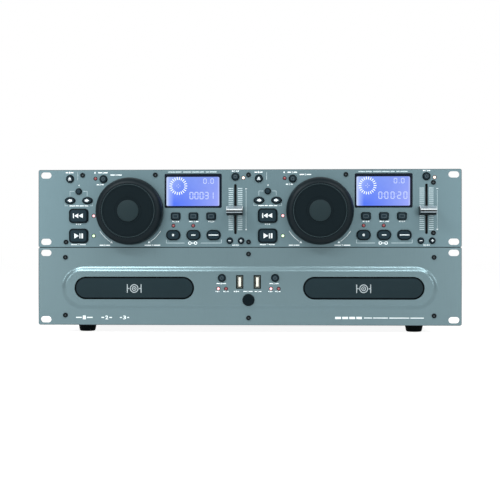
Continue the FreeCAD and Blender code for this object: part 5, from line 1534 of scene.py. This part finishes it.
# ---------------------------------------------------------------- sockets and feet
@dataclass
class Sockets:
    """The two upright USB sockets in front, and every socket in both rear walls."""

    usb: Pair = (10.0, PLAYER_Z + 49.4)
    usb_size: Pair = (5.7, 13.1)
    tongue: Pair = (2.8, 10.5)
    front: float = -RAISE + 0.4
    wall: float = 258.0
    upper_wall: float = 58.0
    sheet: float = 1.2
    room: float = 9.0
    jack_x: Sequence[float] = (78.0, 100.0, 122.0)
    jack_z: Pair = (PLAYER_Z + 43.0, PLAYER_Z + 61.0)
    jack_body: float = 5.6
    remote_x: float = 40.0
    remote_z: Pair = (PLAYER_Z + 48.0, CONTROL_Z + 24.0)
    remote_body: float = 6.8
    inlet: Pair = (-185.0, PLAYER_Z + 45.0)
    inlet_floor: float = -18.0

    def add_usb(self, shape: Shape, x: float) -> None:
        """Adds one USB socket: the folded steel shell, and the tongue with its four contacts.

        Args:
            shape: the mesh that takes the parts.
            x: its middle along X.
        """
        (wide, high), z, front, end = self.usb_size, self.usb[1], self.front, BOARD_FRONT
        outer, inner = Outline(wide, high, 0.7), Outline(wide - 0.8, high - 0.8, 0.35)
        shape.frame((outer, inner), (x, z), (
            (end, 0.0, 0), (front, 0.0, 0), (front, 0.0, 1), (front + 0.5, 0.0, 1)), 6, 4)
        # The shell's inner walls behind its lip, and its back wall, take the black moulding: painted shade inside the
        # socket's mouth.
        shape.frame((outer, inner), (x, z), (
            (end, -0.02, 0), (front + 0.5, -0.02, 0), (front + 0.5, 0.0, 1), (end - 0.4, 0.0, 1)), 2, 4)
        shape.prism(outer, x, z, ((end, -0.2), (end - 0.4, -0.2)), 2, 4)
        shape.block(x, z, self.tongue, (front + 0.8, end - 0.4), 1)
        for dz in (-3.5, -1.0, 1.0, 3.5):
            shape.block(x + 1.425, z + dz, (0.15, 1.0), (front + 1.6, end - 1.0), 3)

    def add_body(self, shape: Shape, x: float, z: float, half: float, wall: float) -> None:
        """Adds the plain body of a rear socket, inside the wall."""
        shape.block(x, z, (2 * half, 2 * half), (wall - self.sheet - self.room, wall - self.sheet), 2)

    @staticmethod
    def turn(shape: Shape, profile: Sequence[Pair], x: float, z: float, wall: float, segments: int, mark: int) -> None:
        """Adds a turned part whose profile is counted from a wall."""
        shape.lathe([(radius, wall + along) for radius, along in profile], (x, 0.0, z), segments, mark)

    def add_jack(self, shape: Shape, x: float, z: float, mark: int) -> None:
        """Adds one phono jack: flange, coloured ring, gilt barrel and its bore.

        Args:
            shape: the mesh that takes the parts.
            x: its middle along X.
            z: its middle along Z.
            mark: the coloured ring's finish.
        """
        body = self.jack_body
        flange = [(0.0, -self.sheet), (body, -self.sheet), (body, 1.6), (body - 0.4, 2.0), (4.6, 2.0), (0.0, 2.0)]
        barrel = [(0.0, 1.0), (4.2, 1.0), (4.2, 8.7), (3.9, 9.0), (3.3, 9.0), (3.3, 8.6), (0.0, 8.6)]
        bore = [(0.0, 8.5), (3.3, 8.5), (3.3, 8.75), (1.6, 8.75), (1.6, 2.0), (0.0, 2.0)]
        for profile, segments, finish in ((flange, 32, mark), (barrel, 32, 3), (bore, 24, 2)):
            self.turn(shape, profile, x, z, self.wall, segments, finish)
        self.add_body(shape, x, z, body, self.wall)

    def add_remote(self, shape: Shape, x: float, z: float, wall: float) -> None:
        """Adds one round remote control socket with its contact holes.

        Args:
            shape: the mesh that takes the parts.
            x: its middle along X.
            z: its middle along Z.
            wall: the outer face of the wall it stands in.
        """
        body = self.remote_body
        profile = [(0.0, -self.sheet), (body, -self.sheet), (body, 1.1), (body - 0.4, 1.5), (4.9, 1.5), (4.9, -4.5),
                   (3.6, -4.5), (3.6, 0.7), (0.0, 0.7)]
        self.turn(shape, profile, x, z, wall, 40, 2)
        self.add_body(shape, x, z, body, wall)
        for t in (math.radians(45 * k + 22.5) for k in range(8)):
            shape.block(x + 2.3 * math.cos(t), z + 2.3 * math.sin(t), (0.6, 0.6), (wall + 0.5, wall + 0.73), 3)

    def add_mains(self, shape: Shape) -> None:
        """Adds the mains inlet: flange, deep open box and three flat pins.

        Args:
            shape: the mesh that takes the parts.
        """
        (x, z), wall, room = self.inlet, self.wall, Outline(24.4, 16.6, 3.0)
        face, floor = wall + 2.0, wall + self.inlet_floor
        shape.frame((Outline(50.0, 24.0, 5.0), room), (x, z), (
            (wall, 0.0, 0), (face - 0.5, 0.0, 0), (face, -0.5, 0), (face, 0.5, 1), (face - 0.5, 0.0, 1),
            (wall, 0.0, 1)), 2)
        shape.frame((Outline(27.6, 19.8, 4.0), room), (x, z), (
            (floor - 1.6, 0.0, 0), (wall, 0.0, 0), (wall, 0.0, 1), (floor - 1.6, 0.0, 1)), 2)
        shape.prism(room, x, z, ((floor, 0.05), (floor - 1.6, 0.05)), 2)
        for dx, dz in ((-7.0, -2.0), (0.0, 2.0), (7.0, -2.0)):
            shape.block(x + dx, z + dz, (2.0, 4.0), (floor, floor + 13.0))
        screw = [(0.0, -0.2), (2.2, -0.2), (2.2, 0.25), (1.5, 0.6), (0.0, 0.7)]
        for way in (-1, 1):
            self.turn(shape, screw, x + way * 20.0, z, face, 20, 0)

    def build(self) -> Object:
        """Builds every socket as one piece.

        Returns:
            The sockets.
        """
        shape = Shape()
        for way in (-1, 1):
            self.add_usb(shape, way * self.usb[0])
            for z, wall in zip(self.remote_z, (self.wall, self.upper_wall)):
                self.add_remote(shape, way * self.remote_x, z, wall)
        for x in self.jack_x:
            for mark, z in enumerate(self.jack_z, 4):
                self.add_jack(shape, x, z, mark)
        self.add_mains(shape)
        return shape.piece(
            "rear_and_usb_sockets", (PLATED_STEEL, TONGUE_CREAM, SOCKET_BLACK_AND_SHADE, CONTACT_GOLD, RING_RED, RING_WHITE,
                                     SHELL_STEEL), "socket_plastic", CASES, ("sockets",))


@dataclass
class Feet:
    """Four tapered rubber feet under the player, and four round pads between the cases."""

    height: float = 11.0
    top: float = 11.1
    base: float = 8.9
    edge: float = 1.8
    steps: int = 5
    x: float = 191.0
    depths: Pair = (36.0, 222.0)
    pad: float = 6.0
    pad_height: float = 4.0
    pad_depths: Pair = (12.0, 48.0)
    pad_z: float = 95.8

    def build(self) -> Object:
        """Builds all eight as one piece.

        Returns:
            The feet and pads.
        """
        shape, flare = Shape(), (self.top - self.base) * self.edge / self.height
        foot = [(0.0, 0.9), (3.2, 0.9), (3.6, 0.0)]
        foot += [(self.base - self.edge + self.edge * math.sin(t) + flare * k / self.steps,
                  self.edge * (1 - math.cos(t))) for k, t in enumerate(quarter(self.steps))]
        foot += [(self.top, self.height), (0.0, self.height)]
        pad = [(0.0, 0.0), (self.pad, 0.0), (self.pad, self.pad_height), (0.0, self.pad_height)]
        rows = ((foot, self.depths, 0.0, 48), (pad, self.pad_depths, self.pad_z, 40))
        for way in (-1, 1):
            for profile, depths, low, segments in rows:
                for y in depths:
                    shape.lathe(profile, (way * self.x, y, low), segments, toward=(0.0, 0.0, 1.0))
        return shape.piece("rubber_feet_and_pads", (RUBBER,), "foot_rubber", CASES, ("rubber_feet",))


# ---------------------------------------------------------------- printing on the panels
@dataclass(frozen=True)
class Numbers:
    """Small numbers of one size, each between two dashes."""

    letter: float
    gap: float
    dash: float
    y: float = 0.0
    weight: float = 0.018
    share: float = 0.78
    least: float = 0.5

    def add(self, shape: Shape, text: str, x: float, z: float, length: float) -> None:
        """Adds a number between two dashes.

        Args:
            shape: the mesh that takes the parts.
            text: the number.
            x: its middle along X.
            z: its middle along Z.
            length: what the number and dashes measure together.
        """
        width = self.letter * self.share * len(text)
        shape.words(text, x, z, self.letter, self.y, self.weight, width)
        dash = (length - width) / 2 - self.gap
        if dash > self.least:
            for way in (-1, 1):
                shape.bar(x + way * (length - dash) / 2, z, dash, self.dash, self.y)


@dataclass
class DeckLegends:
    """The pale printing round one deck's parts: numbered marks, brackets, arcs and the fader's scale."""

    side: Side
    numbers: Numbers = Numbers(1.8, 0.7, 1.15)
    marks: Sequence[Triple] = (
        (-97.0, 85.6, 9.0), (-58.6, 85.4, 11.0), (-43.6, 82.8, 13.0), (-86.2, 70.9, 3.4), (-61.8, 71.8, 8.0),
        (-86.8, 26.5, 6.2), (-86.8, 3.2, 17.0), (-56.4, 2.4, 12.0), (-1.7, 2.4, 18.0), (25.0, 29.5, 7.8),
        (45.7, 29.5, 10.6), (65.8, 29.5, 6.6), (93.4, 86.9, 8.0), (93.4, 2.5, 7.0))
    brackets: Sequence[tuple[float, Sequence[Pair]]] = (
        (0.35, ((-87.7, 85.6), (-87.7, 77.0))), (0.4, ((-91.6, 64.2), (-96.6, 64.2), (-96.6, 59.4))),
        (0.4, ((-81.5, 64.2), (-76.8, 64.2), (-76.8, 59.2))), (0.4, ((-102.4, 50.0), (-102.4, 47.6), (-99.1, 47.6))),
        (0.4, ((-70.6, 50.0), (-70.6, 47.6), (-73.9, 47.6))), (0.5, ((14.3, 8.6), (14.3, 4.9), (35.2, 4.9))),
        (0.5, ((53.8, 4.9), (77.2, 4.9), (77.2, 8.6))), (0.35, ((105.5, 64.8), (105.5, 22.0))))
    dashes: Sequence[Pair] = ((-97.2, -90.6), (-89.8, -86.4), (-85.4, -80.6), (-79.8, -75.6))
    title: Sequence[Pair] = (
        (16.4, 24.0), (24.7, 31.6), (33.4, 42.6), (43.3, 52.0), (52.7, 57.4), (59.4, 63.0), (63.7, 71.8))
    bars: Sequence[tuple[float, float, float, float]] = (
        (-67.8, 85.4, 1.3, 1.9), (44.5, 4.9, 3.4, 0.8), (105.5, 66.6, 2.0, 0.6), (105.5, 20.4, 2.0, 0.6),
        (105.5, 20.4, 0.6, 2.0))
    loop_rings: Sequence[Pair] = ((41.2, 4.9), (47.8, 4.9))
    scale_x: Sequence[Pair] = ((85.5, 90.7), (95.9, 101.4))
    scale_z: Pair = (20.1, 67.1)
    scale_count: int = 22
    jog_arc: float = 41.6

    def row(self, shape: Shape, spans: Sequence[Pair], z: float, height: float, mark: int) -> None:
        """Adds a row of bars that stands for words."""
        for start, end in spans:
            shape.bar(self.side.deck_x + (start + end) / 2, CONTROL_Z + z, end - start, height, 0.0, mark)

    def arcs(self, shape: Shape) -> None:
        """Adds both arcs under the jog wheel, each with its arrow.

        Args:
            shape: the mesh that takes the parts.
        """
        x, z, r = self.side.deck_x + JOG_AT[0], CONTROL_Z + JOG_AT[1], self.jog_arc
        for start, end, tip, way in ((213, 236, 239, 1), (304, 327, 301, -1)):
            shape.arc(x, z, r, start, end, 0.5, 0.0)
            out = Vector((math.cos(math.radians(tip)), math.sin(math.radians(tip))))
            at, along = Vector((x, z)) + out * r, Vector((-out.y, out.x)) * way
            shape.slab((at + along * 1.6, at - along * 1.2 + out * 1.5, at - along * 1.2 - out * 1.5), 0.0)

    def scale(self, recipe: TicksRecipe) -> Mesh:
        """The fader's scale, a row of ticks on each side of its slot.

        Args:
            recipe: the tree that makes the ticks.

        Returns:
            Its mesh.
        """
        low, high = self.scale_z
        step = (high - low) / (self.scale_count - 1)
        places = [(self.side.deck_x + (start + end) / 2, FACE_Y + 0.015, CONTROL_Z + low + step * k)
                  for start, end in self.scale_x for k in range(self.scale_count)]
        length = self.scale_x[0][1] - self.scale_x[0][0]
        values = {"Length": length * MM, "Height": 0.85 * MM, "Depth": 0.05 * MM}
        return recipe.grow(self.side.value + "_fader_scale", places, [(0.0, 0.0, 0.0)] * len(places), values, DIM_INK)

    def build(self, recipe: TicksRecipe) -> Object:
        """Builds the printing.

        Args:
            recipe: the tree that makes the fader's scale.

        Returns:
            The printing, riding on the cases.
        """
        shape, lamps, left, low = Shape(), Lamps(), self.side.deck_x, CONTROL_Z
        for number, (x, z, length) in enumerate(self.marks, 1):
            self.numbers.add(shape, str(number), left + x, low + z, length)
        for width, points in self.brackets:
            shape.line([(left + x, low + z) for x, z in points], width, 0.0, 1)
        for x, z, length, height in self.bars:
            shape.bar(left + x, low + z, length, height, 0.0)
        for x, z in self.loop_rings:
            shape.ring(left + x, low + z, 1.5, 0.8, 0.0)
        # Each deck lamp gets a dark ring round its hole: painted shade, not print.
        for x, z, _ in lamps.deck:
            shape.ring(left + x, low + z, *lamps.hole, 0.0, 2)
        self.row(shape, self.dashes, 47.5, 1.0, 0)
        self.row(shape, self.title, 86.0, 1.1, 1)
        self.arcs(shape)
        name = self.side.value + "_deck_printing"
        mesh = merged(name, shape.mesh(name), self.scale(recipe))
        return place(name, mesh, (PANEL_INK, DIM_INK, LAMP_HOLE_SHADE, DIM_INK), "panel_paint")


@dataclass
class PlayerLegends:
    """The small numbered marks round the USB sockets, the lamps and the source buttons."""

    numbers: Numbers = Numbers(1.6, 0.6, 1.0, -RAISE)
    marks: Sequence[tuple[str, float, float, float]] = (
        ("1", -31.0, 47.6, 10.8), ("2", 29.1, 47.6, 10.3), ("1", -35.3, 38.6, 4.4), ("2", -25.6, 38.6, 6.0),
        ("1", 24.8, 38.6, 4.4), ("2", 33.4, 38.6, 6.0), ("1", -13.7, 38.6, 6.0), ("0", -0.6, 38.6, 10.4),
        ("2", 10.9, 38.6, 7.6))
    low_z: float = PLAYER_Z + 8.6
    low_marks: Sequence[Pair] = ((-188.3, 20.0), (-162.5, 13.0), (-142.0, 11.4))
    stripes: Sequence[Triple] = ((98.4, 105.0, 2.6), (106.4, 113.0, 2.6), (114.4, 121.0, 2.6), (122.4, 128.6, 2.6),
                                 (131.0, 140.0, 1.0), (141.4, 158.0, 1.0), (159.6, 182.0, 1.0), (183.4, 198.6, 1.0))

    def build(self) -> Object:
        """Builds the printing, riding on the cases.

        Returns:
            The printing.
        """
        shape, lamps = Shape(), Lamps()
        for text, x, z, length in self.marks:
            self.numbers.add(shape, text, x, PLAYER_Z + z, length)
        # Each source lamp gets a dark ring round its hole: painted shade, not print.
        for x, _ in lamps.sources:
            shape.ring(x, lamps.source_z, *lamps.hole, -RAISE, 1)
        for number, (x, length) in enumerate(self.low_marks, 1):
            shape.words(str(number), x, self.low_z, 4.4, 0.0, 0.03, 3.4)
            for way in (-1, 1):
                shape.bar(x + way * (length / 4 + 1.3), self.low_z, length / 2 - 3.4, 1.2, 0.0)
        for start, end, high in self.stripes:
            shape.bar((start + end) / 2, self.low_z, end - start, high, 0.0)
        return shape.piece("player_printing", (PANEL_INK, LAMP_HOLE_SHADE), "panel_paint")


# ---------------------------------------------------------------- the studio
@dataclass
class Studio:
    """A pale floor, a white surround, soft lamps and the camera."""

    camera_at: Triple = (54.4, FACE_Y - 1300.0, 91.6)
    aim: Triple = (1.65, FACE_Y, 94.75)
    lens: float = 82.24
    lamp_aim: Triple = (0.0, 0.0, 0.09)
    world_level: float = 0.12
    floor_level: float = 0.90
    floor_size: float = 24.0
    lamps: Sequence[tuple[str, Triple, Pair, float]] = (
        ("key_left", (-0.34, -0.62, 0.60), (0.44, 0.13), 4.6), ("key_right", (0.37, -0.62, 0.60), (0.58, 0.13), 3.4),
        ("left_arc", (-0.66, -0.62, 0.28), (0.14, 0.28), 0.8), ("right_arc", (0.70, -0.62, 0.28), (0.14, 0.28), 0.8),
        ("top_edge", (0.0, -0.32, 0.44), (0.9, 0.08), 0.30), ("left_front", (-0.48, -0.75, 0.10), (0.30, 0.45), 0.58),
        ("right_front", (0.44, -0.75, 0.10), (0.30, 0.45), 0.58))

    def floor(self) -> None:
        """Adds the floor, which looks white and still takes the shadow."""
        mesh = bpy.data.meshes.new("floor")
        corners = oblong(0.0, 0.0, self.floor_size, self.floor_size)
        mesh.from_pydata([(x, y, 0.0) for x, y in corners], [], [(0, 1, 2, 3)])
        paint = Paint("pale_floor")
        paint.put({"Base Color": solid((0.80, 0.80, 0.80)), "Roughness": 0.9, "Specular IOR Level": 0.0})
        level = paint.math("MULTIPLY", paint.seen(), self.floor_level)
        glow = paint.add("Emission", {"Color": solid(WHITE), "Strength": level})
        both = paint.add("AddShader", {0: paint.shader.outputs[0], 1: glow.outputs[0]})
        paint.feed(paint.tree.nodes["Material Output"].inputs["Surface"], both.outputs[0])
        mesh.materials.append(paint.material)
        floor = added("floor", mesh)

    def surround(self) -> None:
        """Sets the world: white to the eye and in reflections, a plain level as light."""
        world = bpy.data.worlds.new("surround")
        bpy.context.scene.world = world
        world.use_nodes = True
        nodes = Nodes(world.node_tree)
        back = nodes.tree.nodes["Background"]
        nodes.feed(back.inputs["Color"], solid(WHITE))
        nodes.feed(back.inputs["Strength"], nodes.span(nodes.seen(), self.world_level, 1.0))

    @staticmethod
    def turn(thing: Object, at: Vector, aim: Vector) -> None:
        """Puts a lamp or the camera in its place and turns it towards its aim."""
        thing.location = at
        thing.rotation_euler = (aim - at).to_track_quat("-Z", "Y").to_euler()

    def lamp(self, name: str, at: Triple, size: Pair, watts: float) -> None:
        """Adds one soft lamp aimed at the object.

        Args:
            name: the lamp's name.
            at: its place, in metres.
            size: its width and height.
            watts: its power.
        """
        light = bpy.data.lights.new(name, "AREA")
        light.shape, light.energy = "RECTANGLE", watts
        light.size, light.size_y = size
        thing = added(name, light)
        thing.visible_camera = False
        self.turn(thing, Vector(at), Vector(self.lamp_aim))

    def camera(self) -> None:
        """Adds the camera."""
        eye = added("camera", bpy.data.cameras.new("camera"))
        eye.data.sensor_width, eye.data.sensor_fit, eye.data.lens = 36.0, "HORIZONTAL", self.lens
        eye.data.clip_start, eye.data.clip_end = 0.05, 60.0
        self.turn(eye, Vector(self.camera_at) * MM, Vector(self.aim) * MM)
        bpy.context.scene.camera = eye

    def build(self) -> None:
        """Builds the studio."""
        bpy.context.scene.view_settings.view_transform = "Standard"
        self.floor()
        self.surround()
        for row in self.lamps:
            self.lamp(*row)
        self.camera()
        LOG.info("studio ready")


def main() -> None:
    """Builds every sub-assembly in order."""
    logging.basicConfig(level=logging.INFO, format="%(name)s: %(message)s")
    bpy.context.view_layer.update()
    Studio().build()
    Cases().dress()
    copies, ticks = Recipe("copies_on_points"), TicksRecipe("ticks_on_points")
    PlayerButtons().build()
    for side in Side:
        DeckButtons(side).build()
        JogWheel(side).build()
        PitchFader(side).build()
        DeckLegends(side).build(ticks)
        TrayDoor(side).build()
    DisplayModule.both(ticks)
    PlayerLegends().build()
    Lamps().build()
    Screws().build(copies)
    Sockets().build()
    Feet().build()


if __name__ == "__main__":
    main()
